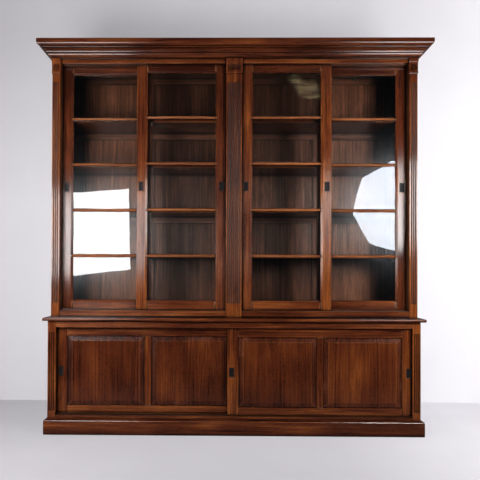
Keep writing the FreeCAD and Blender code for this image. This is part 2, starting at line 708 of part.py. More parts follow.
def raised_panel(name, inner, face, low):
    """A panel with a thin edge all round, a sloping border and a raised field with a small step."""
    sight, tall, margin = "panel_sight_width", "panel_sight_height", "panel_field_margin"
    slope_face = face + " + panel_field_setback + panel_field_step"
    slope_depth = "panel_groove_lip - panel_field_setback - panel_field_step"
    edge = board(name + "_edge_board",
                 (inner + " - panel_tongue", face + " + panel_groove_lip", low + " - panel_tongue"),
                 (sight + " + 2 * panel_tongue", "panel_tongue_thickness", tall + " + 2 * panel_tongue"))
    slope = frustum(name + "_slope", (inner, slope_face, low),
                    (margin, sight + " - " + margin, margin, tall + " - " + margin),
                    ("0", sight, "0", tall), slope_depth)
    field = board(name + "_field", (inner + " + " + margin, face + " + panel_field_setback",
                                    low + " + " + margin),
                  (sight + " - 2 * " + margin, "panel_field_step", tall + " - 2 * " + margin))
    return joined(name, [edge, slope, field])


def guide(name, left, length, low, height, faces, thickness, front, depth):
    """A board with one groove for the top of each door."""
    blank = board(name + "_blank", (left, front, low), (length, depth, height))
    grooves = [board("%s_groove_%d" % (name, row + 1), (left, face + " - guide_side_gap", low),
                     (length, thickness + " + 2 * guide_side_gap", "guide_groove_depth"))
               for row, face in enumerate(faces)]
    return cut(name, blank, group(name + "_grooves", grooves))


def runners(name, left, length, faces, thickness, low):
    """One wooden strip under each door."""
    return [board("%s_%d" % (name, row + 1),
                  (left, face + " + (" + thickness + " - runner_width) / 2", low),
                  (length, "runner_width", "runner_height"))
            for row, face in enumerate(faces)]


# Plinth: a front board and two returns, with a sloping top edge
plinth_corners = [("0", "0"), ("plinth_thickness", "0"), ("plinth_thickness", "plinth_height"),
                  ("0", "plinth_front_height")]
plinth_left = "-base_width / 2 - plinth_thickness"
plinth_front = "base_face - plinth_thickness"
plinth_board = front_moulding("plinth_front", plinth_corners, None, "plinth_thickness",
                              "base_width / 2 + plinth_thickness", ("0", plinth_front, "0"))
plinth_side = return_moulding("plinth_left", plinth_corners, None, "plinth_thickness",
                              "base_depth + plinth_thickness", (plinth_left, plinth_front, "0"))
plinth = group("plinth", [plinth_board, plinth_side, mirrored("plinth_right", plinth_side)])

# Base cabinet
base_inner_depth = "back_frame_face - base_frame_back"
base_floor = board("base_floor_board",
                   ("-base_side_inner", "base_frame_back", "base_floor_top - base_floor_thickness"),
                   ("2 * base_side_inner", base_inner_depth, "base_floor_thickness"))
base_sides = [board("base_side_left", ("-base_width / 2", "base_frame_back", "0"),
                    ("base_side_thickness", "back_plane - base_frame_back", "base_height")),
              board("base_side_right", ("base_side_inner", "base_frame_back", "0"),
                    ("base_side_thickness", "back_plane - base_frame_back", "base_height"))]
base_stiles = [fluted_upright("base_stile_left", "base_stile_width", "base_stile_thickness",
                              "base_height", "side_flute_count", "base_flute_low",
                              "base_flute_top_margin", ("-base_width / 2", "base_face", "0")),
               fluted_upright("base_stile_right", "base_stile_width", "base_stile_thickness",
                              "base_height", "side_flute_count", "base_flute_low",
                              "base_flute_top_margin", ("base_bay", "base_face", "0"))]
base_bottom_rail = board("base_bottom_rail",
                         ("-base_bay", "base_face", "base_floor_top - base_bottom_rail_height"),
                         ("2 * base_bay", "base_stile_thickness", "base_bottom_rail_height"))
base_top_rail = board("base_top_rail", ("-base_bay", "base_face", "base_rail_bottom"),
                      ("2 * base_bay", "base_stile_thickness", "base_top_rail_height"))
base_jamb = board("base_jamb_left", ("-base_side_inner", "base_frame_back", "base_floor_top"),
                  ("base_side_inner - base_track_end", "base_track_depth", "base_height - base_floor_top"))
base_jambs = group("base_jambs", [base_jamb, mirrored("base_jamb_right", base_jamb)])
base_divider = board("base_divider", ("-partition_thickness / 2", "base_track_back", "base_floor_top"),
                     ("partition_thickness", "back_frame_face - base_track_back",
                      "base_height - base_floor_top"))
base_back_stiles = [("-base_side_inner", "-base_side_inner + back_stile_width"),
                    ("-back_centre_stile_width / 2", "back_centre_stile_width / 2"),
                    ("base_side_inner - back_stile_width", "base_side_inner")]
base_back_low = "base_floor_top - base_floor_thickness"
base_back_rails = [(base_back_low, base_back_low + " + base_back_rail_width"),
                   ("base_height - base_back_rail_width", "base_height")]
base_back_frame, base_back_panels = framed_back("base_back", base_back_stiles, base_back_rails,
                                                base_back_low, "base_height")

# Waist ledge with rounded front and sides
ledge = document.addObject("PartDesign::Body", "waist_ledge")
ledge_plan = sketch_on(ledge, "ledge_plan", "XY_Plane")
rectangle(ledge_plan, "base_width + 2 * ledge_overhang", "base_depth + ledge_overhang")
ledge_board = pad(ledge, "ledge_board", ledge_plan, "ledge_thickness")


def ledge_edge(edge):
    box = edge.BoundBox
    level = box.ZLength < 0.01
    at_back = box.YMin > number("base_depth + ledge_overhang") - 0.01
    return level and not at_back


rounded(ledge, "ledge_rounding_feature", ledge_board, "ledge_rounding", ledge_edge)
place(ledge, "-base_width / 2 - ledge_overhang", "base_face - ledge_overhang", "base_height")

# Upper cabinet
upper_inner_depth = "back_frame_face - frame_back"
half_partition = "partition_thickness / 2"
upper_floor = board("upper_floor_left", ("-side_inner", "frame_back", "sill_top - upper_floor_thickness"),
                    ("side_inner - " + half_partition, upper_inner_depth, "upper_floor_thickness"))
upper_floors = group("upper_floor_boards", [upper_floor, mirrored("upper_floor_right", upper_floor)])
side_extent = ("upper_side_thickness", "back_plane - frame_back", "top_board_top - ledge_top")
upper_sides = [board("upper_side_left", ("-upper_width / 2", "frame_back", "ledge_top"), side_extent),
               board("upper_side_right", ("side_inner", "frame_back", "ledge_top"), side_extent)]
partition = board("centre_partition", ("-" + half_partition, "frame_back", "ledge_top"),
                  ("partition_thickness", upper_inner_depth, "top_board_bottom - ledge_top"))
top_board = board("top_board", ("-side_inner", "frame_back", "top_board_bottom"),
                  ("2 * side_inner", upper_inner_depth, "top_board_thickness"))

# Pilasters, the rails between them and the frieze behind their capitals
pilasters = [pilaster("pilaster_left", "side_pilaster_width", "side_flute_count", "-upper_width / 2"),
             pilaster("pilaster_centre", "centre_pilaster_width", "centre_flute_count",
                      "-centre_pilaster_width / 2"),
             pilaster("pilaster_right", "side_pilaster_width", "side_flute_count", "bay_outer")]
sill_blank = board("upper_bottom_rail_blank", ("-bay_outer", "upper_face + sill_setback", "ledge_top"),
                   ("bay_width", "pilaster_thickness - sill_setback", "sill_height"))
sill_foot = board("upper_bottom_rail_foot", ("-bay_outer", "upper_face + sill_setback", "ledge_top"),
                  ("bay_width", "sill_foot_setback", "sill_foot"))
sill = cut("upper_bottom_rail_left", sill_blank, sill_foot)
bottom_rails = group("upper_bottom_rails", [sill, mirrored("upper_bottom_rail_right", sill)])
frieze_height = "top_board_top - frieze_bottom"
frieze_front = "upper_face + cornice_backing"
frieze_depth = "pilaster_thickness - cornice_backing"
frieze_blank = board("frieze_blank", ("-upper_width / 2", frieze_front, "frieze_bottom"),
                     ("upper_width", frieze_depth, frieze_height))
frieze_notches = [board("frieze_notch_" + side, (left, frieze_front, "frieze_bottom"),
                        (width, frieze_depth, "frieze_drop"))
                  for side, left, width in (("left", "-upper_width / 2", "side_pilaster_width"),
                                            ("centre", "-bay_inner", "centre_pilaster_width"),
                                            ("right", "bay_outer", "side_pilaster_width"))]
frieze = cut("frieze_rail", frieze_blank, group("frieze_notches", frieze_notches))

# Uprights that the glazed doors close on
jamb_height = "top_board_bottom - sill_top"
outer_jamb = board("upper_jamb_outer", ("-side_inner", "frame_back", "sill_top"),
                   ("side_inner - bay_outer", "track_depth", jamb_height))
inner_jamb = board("upper_jamb_inner", ("-bay_inner", "frame_back", "sill_top"),
                   ("bay_inner - " + half_partition, "track_depth", jamb_height))
upper_jambs = group("upper_jambs", [outer_jamb, inner_jamb, mirrored("upper_jamb_outer_right", outer_jamb),
                                    mirrored("upper_jamb_inner_right", inner_jamb)])

# Shelves of the upper cabinet, one behind each glazing bar, and the strips under their ends
shelf_depth = "back_frame_face - track_back - 2 * shelf_end_gap"
shelf_front = "track_back + shelf_end_gap"
left_shelves, battens = [], []
for level in range(1, int(number("pane_count"))):
    middle = "glazed_door_bottom + glazed_bottom_rail + %d * pane_pitch - glazing_bar_width / 2" % level
    low = middle + " - shelf_thickness / 2"
    left_shelves.append(board("shelf_left_%d" % level, ("-side_inner + shelf_end_gap", shelf_front, low),
                              ("side_inner - " + half_partition + " - 2 * shelf_end_gap", shelf_depth,
                               "shelf_thickness")))
    for end, left in (("outer", "-side_inner"), ("inner", "-" + half_partition + " - batten_width")):
        batten = board("batten_%s_%d" % (end, level), (left, shelf_front, low + " - batten_height"),
                       ("batten_width", shelf_depth, "batten_height"))
        battens += [batten, mirrored(batten.Name + "_right", batten)]
right_shelves = [mirrored("shelf_right_%d" % (row + 1), shelf) for row, shelf in enumerate(left_shelves)]
shelves_left = group("shelves_left", left_shelves)
shelves_right = group("shelves_right", right_shelves)

# Shelves of the base, with the strips under their ends
base_shelf_front = "base_track_back + base_shelf_setback"
base_shelf_depth = "back_frame_face - shelf_end_gap - (" + base_shelf_front + ")"
base_shelf = board("base_shelf_left", ("-base_side_inner + shelf_end_gap", base_shelf_front,
                                       "base_shelf_height"),
                   ("base_side_inner - " + half_partition + " - 2 * shelf_end_gap", base_shelf_depth,
                    "base_shelf_thickness"))
base_shelf_pieces = [base_shelf, mirrored("base_shelf_right", base_shelf)]
for end, left in (("outer", "-base_side_inner"), ("inner", "-" + half_partition + " - batten_width")):
    batten = board("base_batten_" + end, (left, base_shelf_front, "base_shelf_height - batten_height"),
                   ("batten_width", base_shelf_depth, "batten_height"))
    base_shelf_pieces += [batten, mirrored(batten.Name + "_right", batten)]
base_shelves = group("base_shelves", base_shelf_pieces)
shelf_battens = group("shelf_battens", battens)

# Framed back of the upper cabinet: five stiles, and rails behind the first and the third shelf
quarter = "(side_inner + bay_inner) / 2"
stile = "back_stile_width / 2"
upper_back_stiles = [("-side_inner", "-side_inner + back_stile_width"),
                     ("-" + quarter + " - " + stile, "-" + quarter + " + " + stile),
                     ("-back_centre_stile_width / 2", "back_centre_stile_width / 2"),
                     (quarter + " - " + stile, quarter + " + " + stile),
                     ("side_inner - back_stile_width", "side_inner")]


def rail_behind(level):
    """Lower and upper edge of the rail that backs a shelf."""
    middle = ("glazed_door_bottom + glazed_bottom_rail + %d * pane_pitch - glazing_bar_width / 2"
              " - back_rail_rise" % level)
    return middle + " - back_rail_width / 2", middle + " + back_rail_width / 2"


upper_back_rails = [("ledge_top", "sill_top + back_bottom_rail_rise"), rail_behind(2), rail_behind(4),
                    ("top_board_bottom - back_top_rail_drop", "top_board_top")]
upper_back_frame, upper_back_panels = framed_back("upper_back", upper_back_stiles, upper_back_rails,
                                                  "ledge_top", "top_board_top", notched=True)

# Tracks: runners under the doors and grooved guides above them
upper_faces = ["front_door_face", "front_door_face + door_pitch"]
upper_left_runners = runners("upper_runner", "-bay_outer", "bay_width", upper_faces,
                             "glazed_door_thickness", "sill_top")
upper_runners = group("upper_runners", upper_left_runners
                      + [mirrored(strip.Name + "_right", strip) for strip in upper_left_runners])
guide_low = "frieze_bottom + guide_rise"
upper_guide = guide("upper_guide", "-bay_outer", "bay_width", guide_low, "top_board_bottom - frieze_bottom"
                    " - guide_rise", upper_faces, "glazed_door_thickness", "frame_back", "track_depth")
upper_guides = group("upper_guides", [upper_guide, mirrored("upper_guide_right", upper_guide)])
base_faces = ["base_front_door_face", "base_front_door_face + base_door_pitch"]
base_runners = group("base_runners", runners("base_runner", "-base_track_end", "2 * base_track_end", base_faces,
                                             "base_door_thickness", "base_floor_top"))
base_guide = guide("base_guide", "-base_track_end", "2 * base_track_end", "base_rail_bottom + guide_rise",
                   "base_top_rail_height - guide_rise", base_faces, "base_door_thickness",
                   "base_frame_back", "base_track_depth")

# Cornice: front moulding and returns, the frame behind them and the cover board
bead_top = "toe_height + torus_drop + cove_drop + fillet_step + 2 * bead_radius"
bead_bottom = "toe_height + torus_drop + cove_drop + fillet_step"
cove_top = "toe_height + torus_drop + cove_drop"
torus_top = "toe_height + torus_drop"
bead_in = "ovolo_radius + bead_setback"
fillet_in = bead_in + " + fillet_step"
cove_in = fillet_in + " + cove_setback"
toe_in = "cornice_projection - cornice_toe"
torus_low_in = toe_in + " - toe_setback"
torus_high_in = torus_low_in + " - torus_width"


def cornice_profile(depth):
    """Corners from the top front edge down to the toe and back up behind, and the rounded edges."""
    corners = [("0", "cornice_height"),
               ("0", bead_top + " + ovolo_radius"),
               ("ovolo_radius", bead_top),
               (bead_in, bead_top),
               (bead_in, bead_bottom),
               (fillet_in, bead_bottom),
               (fillet_in, cove_top),
               (cove_in, cove_top),
               (cove_in + " + cove_width", torus_top),
               (torus_high_in, torus_top),
               (torus_low_in, "toe_height"),
               (toe_in, "toe_height"),
               (toe_in, "0"),
               (depth, "0"),
               (depth, "cornice_height")]
    rounds = {1: ("ovolo_radius", -1), 3: ("1.02 * bead_radius", -1), 7: ("cove_radius", 1),
              9: ("torus_radius", -1)}
    return corners, rounds


cornice_corner = "upper_face - cornice_projection"
corners, rounds = cornice_profile("cornice_projection + cornice_backing")
cornice_front = front_moulding("cornice_front", corners, rounds, "cornice_projection + cornice_backing",
                               "upper_width / 2 + cornice_projection",
                               ("0", cornice_corner, "cornice_bottom"))
corners, rounds = cornice_profile("cornice_projection")
cornice_left = return_moulding("cornice_left", corners, rounds, "cornice_projection",
                               "upper_depth + cornice_projection",
                               ("-upper_width / 2 - cornice_projection", cornice_corner,
                                "cornice_bottom"))
cornice_returns = group("cornice_returns", [cornice_left, mirrored("cornice_right", cornice_left)])
cover_bottom = "total_height - top_cover_drop - top_cover_thickness"
frame_height = cover_bottom + " - top_board_top"
thick = "cornice_frame_thickness"
cross_depth = "back_plane - (" + frieze_front + ") - 2 * " + thick
cross_front = frieze_front + " + " + thick
frame_side = board("cornice_frame_left", ("-upper_width / 2", cross_front, "top_board_top"),
                   (thick, cross_depth, frame_height))
frame_cross = board("cornice_frame_cross_left", ("-upper_width / 6", cross_front, "top_board_top"),
                    (thick, cross_depth, frame_height))
cornice_frame = group("cornice_frame", [
    board("cornice_frame_front", ("-upper_width / 2", frieze_front, "top_board_top"),
          ("upper_width", thick, frame_height)),
    board("cornice_frame_back", ("-upper_width / 2", "back_plane - " + thick, "top_board_top"),
          ("upper_width", thick, frame_height)),
    frame_side, mirrored("cornice_frame_right", frame_side),
    frame_cross, mirrored("cornice_frame_cross_right", frame_cross)])
top_cover = board("top_cover", ("-upper_width / 2", frieze_front, cover_bottom),
                  ("upper_width", "back_plane - (" + frieze_front + ")", "top_cover_thickness"))

# Doors, all closed: the outer glazed doors and the left base door run in the rear tracks
rear_glazed, rear_base = upper_faces[1], base_faces[1]
door_pieces = []
for name, left, face, sides in (
        ("glazed_door_1", "-bay_outer + door_side_clearance", rear_glazed, ["left"]),
        ("glazed_door_2", "-bay_inner - door_side_clearance - glazed_door_width", "front_door_face",
         ["left", "right"]),
        ("glazed_door_3", "bay_inner + door_side_clearance", "front_door_face", ["left", "right"]),
        ("glazed_door_4", "bay_outer - door_side_clearance - glazed_door_width", rear_glazed, ["right"])):
    door_pieces += glazed_door(name, left, face, sides)
for name, left, face, sides in (
        ("base_door_left", "-base_track_end + door_side_clearance", rear_base, ["left"]),
        ("base_door_right", "base_track_end - door_side_clearance - base_door_width", "base_front_door_face",
         ["left", "right"])):
    door_pieces += base_door(name, left, face, sides)

document.recompute()

pieces = [plinth, base_floor, *base_sides, *base_stiles, base_bottom_rail, base_top_rail, base_jambs,
          base_divider, base_shelves, base_runners, base_guide, base_back_frame, base_back_panels, ledge,
          upper_floors, *upper_sides, *pilasters, bottom_rails, frieze, upper_jambs, partition, top_board,
          shelves_left, shelves_right, shelf_battens, upper_back_frame, upper_back_panels, upper_runners,
          upper_guides, cornice_front, cornice_returns, cornice_frame, top_cover, *door_pieces]

# Every feature has to be sound, and every cut has to take wood away
for item in document.Objects:
    if "Invalid" in item.State or "Error" in item.State:
        raise RuntimeError(item.Name + " is in the state " + ", ".join(item.State))
    if item.TypeId in ("PartDesign::Pocket", "PartDesign::Groove", "PartDesign::LinearPattern",
                       "PartDesign::Mirrored"):
        if item.Shape.Volume >= item.BaseFeature.Shape.Volume - 1:
            raise RuntimeError(item.Name + " takes nothing away")
    if item.TypeId == "Part::Cut" and item.Shape.Volume >= item.Base.Shape.Volume - 1:
        print(item.Name, "takes nothing away")

os.makedirs("parts", exist_ok=True)
for piece in pieces:
    if piece.Shape.isNull() or not piece.Shape.isValid() or not piece.Shape.Solids:
        raise RuntimeError(piece.Name + " has no sound shape")
    piece.Label = piece.Name
    piece.Shape.exportStep("parts/" + piece.Label + ".step")
    box = piece.Shape.BoundBox
    print("%-26s %3d solids  x %8.1f %8.1f  y %7.1f %7.1f  z %7.1f %7.1f" % (
        piece.Label, len(piece.Shape.Solids), box.XMin, box.XMax, box.YMin, box.YMax, box.ZMin, box.ZMax))
print(len(pieces), "pieces written")
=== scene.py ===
import json
import math
import random

import bmesh
import bpy
from mathutils import Euler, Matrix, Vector


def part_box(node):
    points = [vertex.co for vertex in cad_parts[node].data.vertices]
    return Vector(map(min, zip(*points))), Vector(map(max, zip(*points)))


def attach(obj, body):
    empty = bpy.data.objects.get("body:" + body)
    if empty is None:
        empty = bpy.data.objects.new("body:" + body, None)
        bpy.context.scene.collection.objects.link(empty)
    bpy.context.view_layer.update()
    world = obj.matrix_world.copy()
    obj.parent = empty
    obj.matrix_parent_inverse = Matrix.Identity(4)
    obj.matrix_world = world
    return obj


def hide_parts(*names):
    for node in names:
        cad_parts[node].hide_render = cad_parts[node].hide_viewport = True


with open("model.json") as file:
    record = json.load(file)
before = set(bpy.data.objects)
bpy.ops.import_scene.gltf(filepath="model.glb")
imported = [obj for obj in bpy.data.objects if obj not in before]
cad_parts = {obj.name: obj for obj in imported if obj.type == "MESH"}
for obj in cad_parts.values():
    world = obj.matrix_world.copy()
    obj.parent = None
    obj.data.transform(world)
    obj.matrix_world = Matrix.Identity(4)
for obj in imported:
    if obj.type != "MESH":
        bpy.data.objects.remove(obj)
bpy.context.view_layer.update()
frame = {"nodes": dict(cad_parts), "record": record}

print("stage: model loaded,", len(frame["nodes"]), "pieces")


# camera

camera = {
    "place": (-0.0485, -3.7660, 1.0085),   # metres
    "turn": (90.5191, -0.2091, 0.6960),    # degrees
    "sensor": 36.0,                        # mm
    "lens": 43.887,                        # mm
    "shiftAcross": 0.0445,
    "shiftUp": 0.0489,
    "sees": 60.0,                          # metres
}


def makeCamera():
    data = bpy.data.cameras.new("roomCamera")
    data.sensor_width = camera["sensor"]
    data.lens = camera["lens"]
    data.shift_x = camera["shiftAcross"]
    data.shift_y = camera["shiftUp"]
    data.clip_end = camera["sees"]
    eye = bpy.data.objects.new("roomCamera", data)
    eye.location = camera["place"]
    eye.rotation_euler = Euler([math.radians(a) for a in camera["turn"]])
    bpy.context.collection.objects.link(eye)
    bpy.context.scene.camera = eye


makeCamera()


# shader helpers

noiseBand = (0.3, 0.7)   # most of a noise lies between these


def newMaterial(name):
    material = bpy.data.materials.new(name)
    material.use_nodes = True
    material.node_tree.nodes.clear()
    return material, material.node_tree


def addNode(tree, kind, values=None, **settings):
    node = tree.nodes.new(kind)
    for key, value in settings.items():
        setattr(node, key, value)
    for key, value in (values or {}).items():
        if isinstance(value, bpy.types.NodeSocket):
            tree.links.new(value, node.inputs[key])
        else:
            node.inputs[key].default_value = value
    return node


def objectPlace(tree):
    return addNode(tree, "ShaderNodeTexCoord").outputs["Object"]


def mathNode(tree, operation, first, second=0.0, clamp=False):
    return addNode(tree, "ShaderNodeMath", {0: first, 1: second},
                   operation=operation, use_clamp=clamp).outputs[0]


def plus(tree, first, second, clamp=False):
    return mathNode(tree, "ADD", first, second, clamp)


def times(tree, first, second):
    return mathNode(tree, "MULTIPLY", first, second)


def aboutHalf(tree, value, amount):
    # what a noise adds where it lies above a half and takes away below
    return times(tree, mathNode(tree, "SUBTRACT", value, 0.5), amount)


def vectorMath(tree, operation, first, second):
    return addNode(tree, "ShaderNodeVectorMath", {0: first, 1: second}, operation=operation).outputs[0]


def lengthOf(tree, vector):
    return addNode(tree, "ShaderNodeVectorMath", {0: vector}, operation="LENGTH").outputs["Value"]


def spread(tree, value, low, high, toLow=0.0, toHigh=1.0):
    return addNode(tree, "ShaderNodeMapRange",
                   {"Value": value, "From Min": low, "From Max": high, "To Min": toLow, "To Max": toHigh},
                   clamp=True).outputs[0]


def mixColour(tree, share, first, second, blend="MIX"):
    node = addNode(tree, "ShaderNodeMix", data_type="RGBA", blend_type=blend, clamp_factor=True)
    for socket, value in ((node.inputs[0], share), (node.inputs[6], first), (node.inputs[7], second)):
        if isinstance(value, bpy.types.NodeSocket):
            tree.links.new(value, socket)
        else:
            socket.default_value = value if isinstance(value, float) else (*value, 1.0)
    return node.outputs[2]


def dimmed(tree, colour, share):
    grey = addNode(tree, "ShaderNodeCombineColor", {0: share, 1: share, 2: share}).outputs[0]
    return mixColour(tree, 1.0, colour, grey, "MULTIPLY")


def scaled(colour, share):
    return tuple(part * share for part in colour)


def noise(tree, place, scale, detail, rough=0.5, warp=0.0):
    # scale holds three values, so that a pattern can be drawn out one way
    drawnOut = addNode(tree, "ShaderNodeMapping", {"Vector": place, "Scale": scale}).outputs[0]
    return addNode(tree, "ShaderNodeTexNoise",
                   {"Vector": drawnOut, "Scale": 1.0, "Detail": detail, "Roughness": rough,
                    "Distortion": warp}).outputs[0]


def ramp(tree, value, stops):
    node = addNode(tree, "ShaderNodeValToRGB", {"Fac": value})
    band = node.color_ramp
    stops = list(stops)
    while len(band.elements) < len(stops):
        band.elements.new(0.5)
    for element, (place, colour) in zip(band.elements, stops):
        element.position = place
        element.color = (*colour, 1.0)
    return node.outputs[0]


def bumped(tree, height, strength, depth, under=None):
    values = {"Height": height, "Strength": strength, "Distance": depth}
    if under is not None:
        values["Normal"] = under
    return addNode(tree, "ShaderNodeBump", values).outputs[0]


def mixShaders(tree, share, first, second):
    return addNode(tree, "ShaderNodeMixShader", {0: share, 1: first, 2: second}).outputs[0]


def clearBehind(tree, shader):
    clear = addNode(tree, "ShaderNodeBsdfTransparent").outputs[0]
    return mixShaders(tree, addNode(tree, "ShaderNodeNewGeometry").outputs["Backfacing"], shader, clear)


# wood

wood = {
    # stain in the closed grain, main colour, warm figure, figure where the stain is worn thin
    "front": ((0.020, 0.0044, 0.0021), (0.056, 0.0121, 0.0040),
              (0.108, 0.0275, 0.0066), (0.195, 0.059, 0.0135)),
    "inner": ((0.026, 0.0090, 0.0045), (0.068, 0.0240, 0.0120),
              (0.118, 0.0440, 0.0220), (0.180, 0.070, 0.0360)),
    "stops": (0.0, 0.38, 0.66, 1.0),   # where those four stand
    "middle": 0.48,                    # and where a board of no special tone lies between them
    "streakShare": 0.45,
    "figureShare": 0.55,
    "contrast": 2.3,
    "contrastCalm": 1.3,
    "cloudShow": 0.9,
    "stainTop": (1.45, 2.20, -0.24),   # painted shade: the wood darkens between these heights and above, where less light reaches
    "ringPitch": 0.011,                # growth rings
    "ringWander": 0.05,                # how far they leave the round
    "ringShow": 0.42,
    "ringShowInner": 0.58,
    "arris": (0.260, 0.095, 0.034),    # rubbed edges
    "arrisShow": (0.35, 0.65, 0.25, 0.8),   # figure from and to, and that colour's share there
    "fibreTone": (0.78, 1.2),          # how the fibres darken and lighten the wood
    "poreTone": (0.30, 0.40, 0.5, 1.0),
    # painted shade and dirt in the corners, darker where other surfaces stand near, for the shade in joints
    # and recesses and for old wax: reach, samples, openness from and to, how dark it makes them
    "wax": (0.024, 6, 0.46, 0.95, 0.12),
    "waxWorn": (0.024, 6, 0.60, 0.95, 0.06),
    "joint": (0.012, 4, 0.50, 0.90, 0.14),
    "rough": 0.165,
    "roughSpread": (-0.05, 0.06),
    "fibreRough": (0.04, 0.0),
    "ripple": (0.10, 0.002),           # strength and depth of the unevenness that follows the figure
    "poreBump": (0.14, 0.0005),        # and of the open grain
    "fibreHeight": 0.35,
    "poreHeight": 0.65,
    "index": 1.45,
}

# its patterns: scale along the fibres and across them, detail, roughness, warp
woodPatterns = {
    "streak": (0.8, 24.0, 3.0, 0.55, 0.25),
    "figure": (3.0, 105.0, 4.0, 0.6, 0.6),
    "fibre": (16.0, 560.0, 2.0, 0.6, 0.0),
    "pore": (42.0, 950.0, 0.0, 0.5, 0.0),
    "cloud": (3.0, 6.0, 2.0, 0.5, 0.0),
}

# its kinds: colours, added roughness, shine, how far the sheen is drawn out sideways
woodKinds = {
    "front": ("front", 0.015, 0.46, 0.82),
    "level": ("front", 0.01, 0.42, 0.1),     # boards that lie across the front
    "worn": ("front", 0.0, 0.80, 0.0),       # rubbed edges and lips
    "bevel": ("front", 0.04, 0.46, 0.0),     # slopes round the raised panels
    "sunken": ("front", 0.12, 0.22, 0.2),    # flutes
    "inner": ("inner", 0.20, 0.20, 0.5),
}

# axis of the fibres (0 across the front, 1 front to back, 2 upright):
# its name, the axes along and across the fibres, and the way of the sheen
grainAxes = {
    0: ("Across", (0, 1, 2), (1.0, 0.0, 0.0)),
    1: ("Deep", (1, 0, 2), (0.0, 0.0, 1.0)),
    2: ("Upright", (2, 0, 1), (1.0, 0.0, 0.0)),
}


def boardValue(tree, name, output="Vector"):
    return addNode(tree, "ShaderNodeAttribute", attribute_name=name).outputs[output]


# painted shade with old wax: darker where other surfaces stand near, as in corners, joints and recesses
def cornerDirt(tree, reach, samples, low, high, dark):
    corner = addNode(tree, "ShaderNodeAmbientOcclusion", {"Distance": reach},
                     samples=samples, only_local=False)
    return spread(tree, corner.outputs["AO"], low, high, dark, 1.0)


def makeWood(name, axis, kind, calm, lift):
    # without an axis, each board brings its own coordinates, with the fibres along the first
    material, tree = newMaterial(name)
    colours, rougher, shine, sheenDrawn = woodKinds[kind]
    worn = kind == "worn"
    parts = addNode(tree, "ShaderNodeSeparateXYZ", {0: objectPlace(tree)}).outputs
    if axis is None:
        grain = boardValue(tree, "woodCoord")
        sheenWay = boardValue(tree, "sheenWay")
        # each board's tone, which holds the painted light and shade of the back and the doors
        tone = boardValue(tree, "boardTone", "Fac")
    else:
        _, order, sheen = grainAxes[axis]
        grain = addNode(tree, "ShaderNodeCombineXYZ",
                        {i: parts[way] for i, way in enumerate(order)}).outputs[0]
        sheenWay = addNode(tree, "ShaderNodeCombineXYZ", dict(enumerate(sheen))).outputs[0]
        tone = 0.0
    streak, figure, fibre, pore, cloud = [
        noise(tree, grain, (along, across, across), detail, rough, warp)
        for along, across, detail, rough, warp in woodPatterns.values()]

    # how light the wood is
    body = plus(tree, times(tree, streak, wood["streakShare"]), times(tree, figure, wood["figureShare"]))
    body = aboutHalf(tree, body, wood["contrastCalm" if calm else "contrast"])
    # painted shade, darker towards the top
    low, high, dark = wood["stainTop"]
    body = plus(tree, body, spread(tree, parts["Z"], low, high, 0.0, dark))
    body = plus(tree, body, aboutHalf(tree, cloud, wood["cloudShow"]))
    if axis is None:
        reach = lengthOf(tree, boardValue(tree, "ringCoord"))
        reach = plus(tree, reach, times(tree, streak, wood["ringWander"]))
        reach = mathNode(tree, "DIVIDE", reach, wood["ringPitch"])
        rings = addNode(tree, "ShaderNodeTexNoise", {"W": reach, "Scale": 1.0, "Detail": 1.0},
                        noise_dimensions="1D").outputs[0]
        ringShow = wood["ringShowInner" if kind == "inner" else "ringShow"]
        body = plus(tree, body, aboutHalf(tree, rings, ringShow))
    body = plus(tree, body, plus(tree, tone, wood["middle"] + lift), clamp=True)

    # its colour
    colour = ramp(tree, body, zip(wood["stops"], wood[colours]))
    if worn:
        colour = mixColour(tree, spread(tree, figure, *wood["arrisShow"]), colour, wood["arris"])
    colour = dimmed(tree, colour, spread(tree, fibre, *noiseBand, *wood["fibreTone"]))
    pores = spread(tree, pore, *wood["poreTone"])
    colour = dimmed(tree, colour, pores)
    # painted shade and dirt in corners and joints
    colour = dimmed(tree, colour, cornerDirt(tree, *wood["waxWorn" if worn else "wax"]))
    if not worn:
        colour = dimmed(tree, colour, cornerDirt(tree, *wood["joint"]))

    # varnish
    smooth, dull = [wood["rough"] + rougher + more for more in wood["roughSpread"]]
    gloss = plus(tree, spread(tree, cloud, *noiseBand, smooth, dull),
                 spread(tree, fibre, *noiseBand, *wood["fibreRough"]))
    height = plus(tree, times(tree, fibre, wood["fibreHeight"]), times(tree, pores, wood["poreHeight"]))
    bump = bumped(tree, height, *wood["poreBump"], bumped(tree, figure, *wood["ripple"]))
    shader = addNode(tree, "ShaderNodeBsdfPrincipled",
                     {"Base Color": colour, "Roughness": gloss, "Normal": bump, "IOR": wood["index"],
                      "Anisotropic": sheenDrawn, "Tangent": sheenWay, "Specular IOR Level": shine})
    addNode(tree, "ShaderNodeOutputMaterial", {0: shader.outputs[0]})
    return material


woods = {}


def woodFor(axis, kind, calm=False, lift=0.0):
    key = (axis, kind, calm, lift)
    if key not in woods:
        name = kind + "Wood" + (grainAxes[axis][0] if axis is not None else "")
        name += "Warm" if lift > 0 else "Dark" if lift < 0 else ""
        name += "Calm" if calm else ""
        woods[key] = makeWood(name, axis, kind, calm, lift)
    return woods[key]


# glass

glass = {
    "tint": (0.985, 0.99, 0.985),
    "index": 1.5,
    "rough": 0.012,
    "waveScale": (5.0, 5.0, 3.0),
    "wave": (0.02, 0.01),          # strength and depth
    "clean": (0.62, 0.62, 0.63),   # colour of what the panes mirror
    "dull": (0.36, 0.38, 0.43),    # and of what the panes at the far right mirror
    "dullFrom": (0.55, 0.72),      # across the front, from the bright to the dim painted reflection
    "cloudScale": (4.0, 4.0, 7.0),
    "cloudLift": 1.12,
    "film": (0.86, 0.92, 1.0),     # faint dull film on the panes
    "filmShare": 0.085,
    "filmRough": 0.20,
}


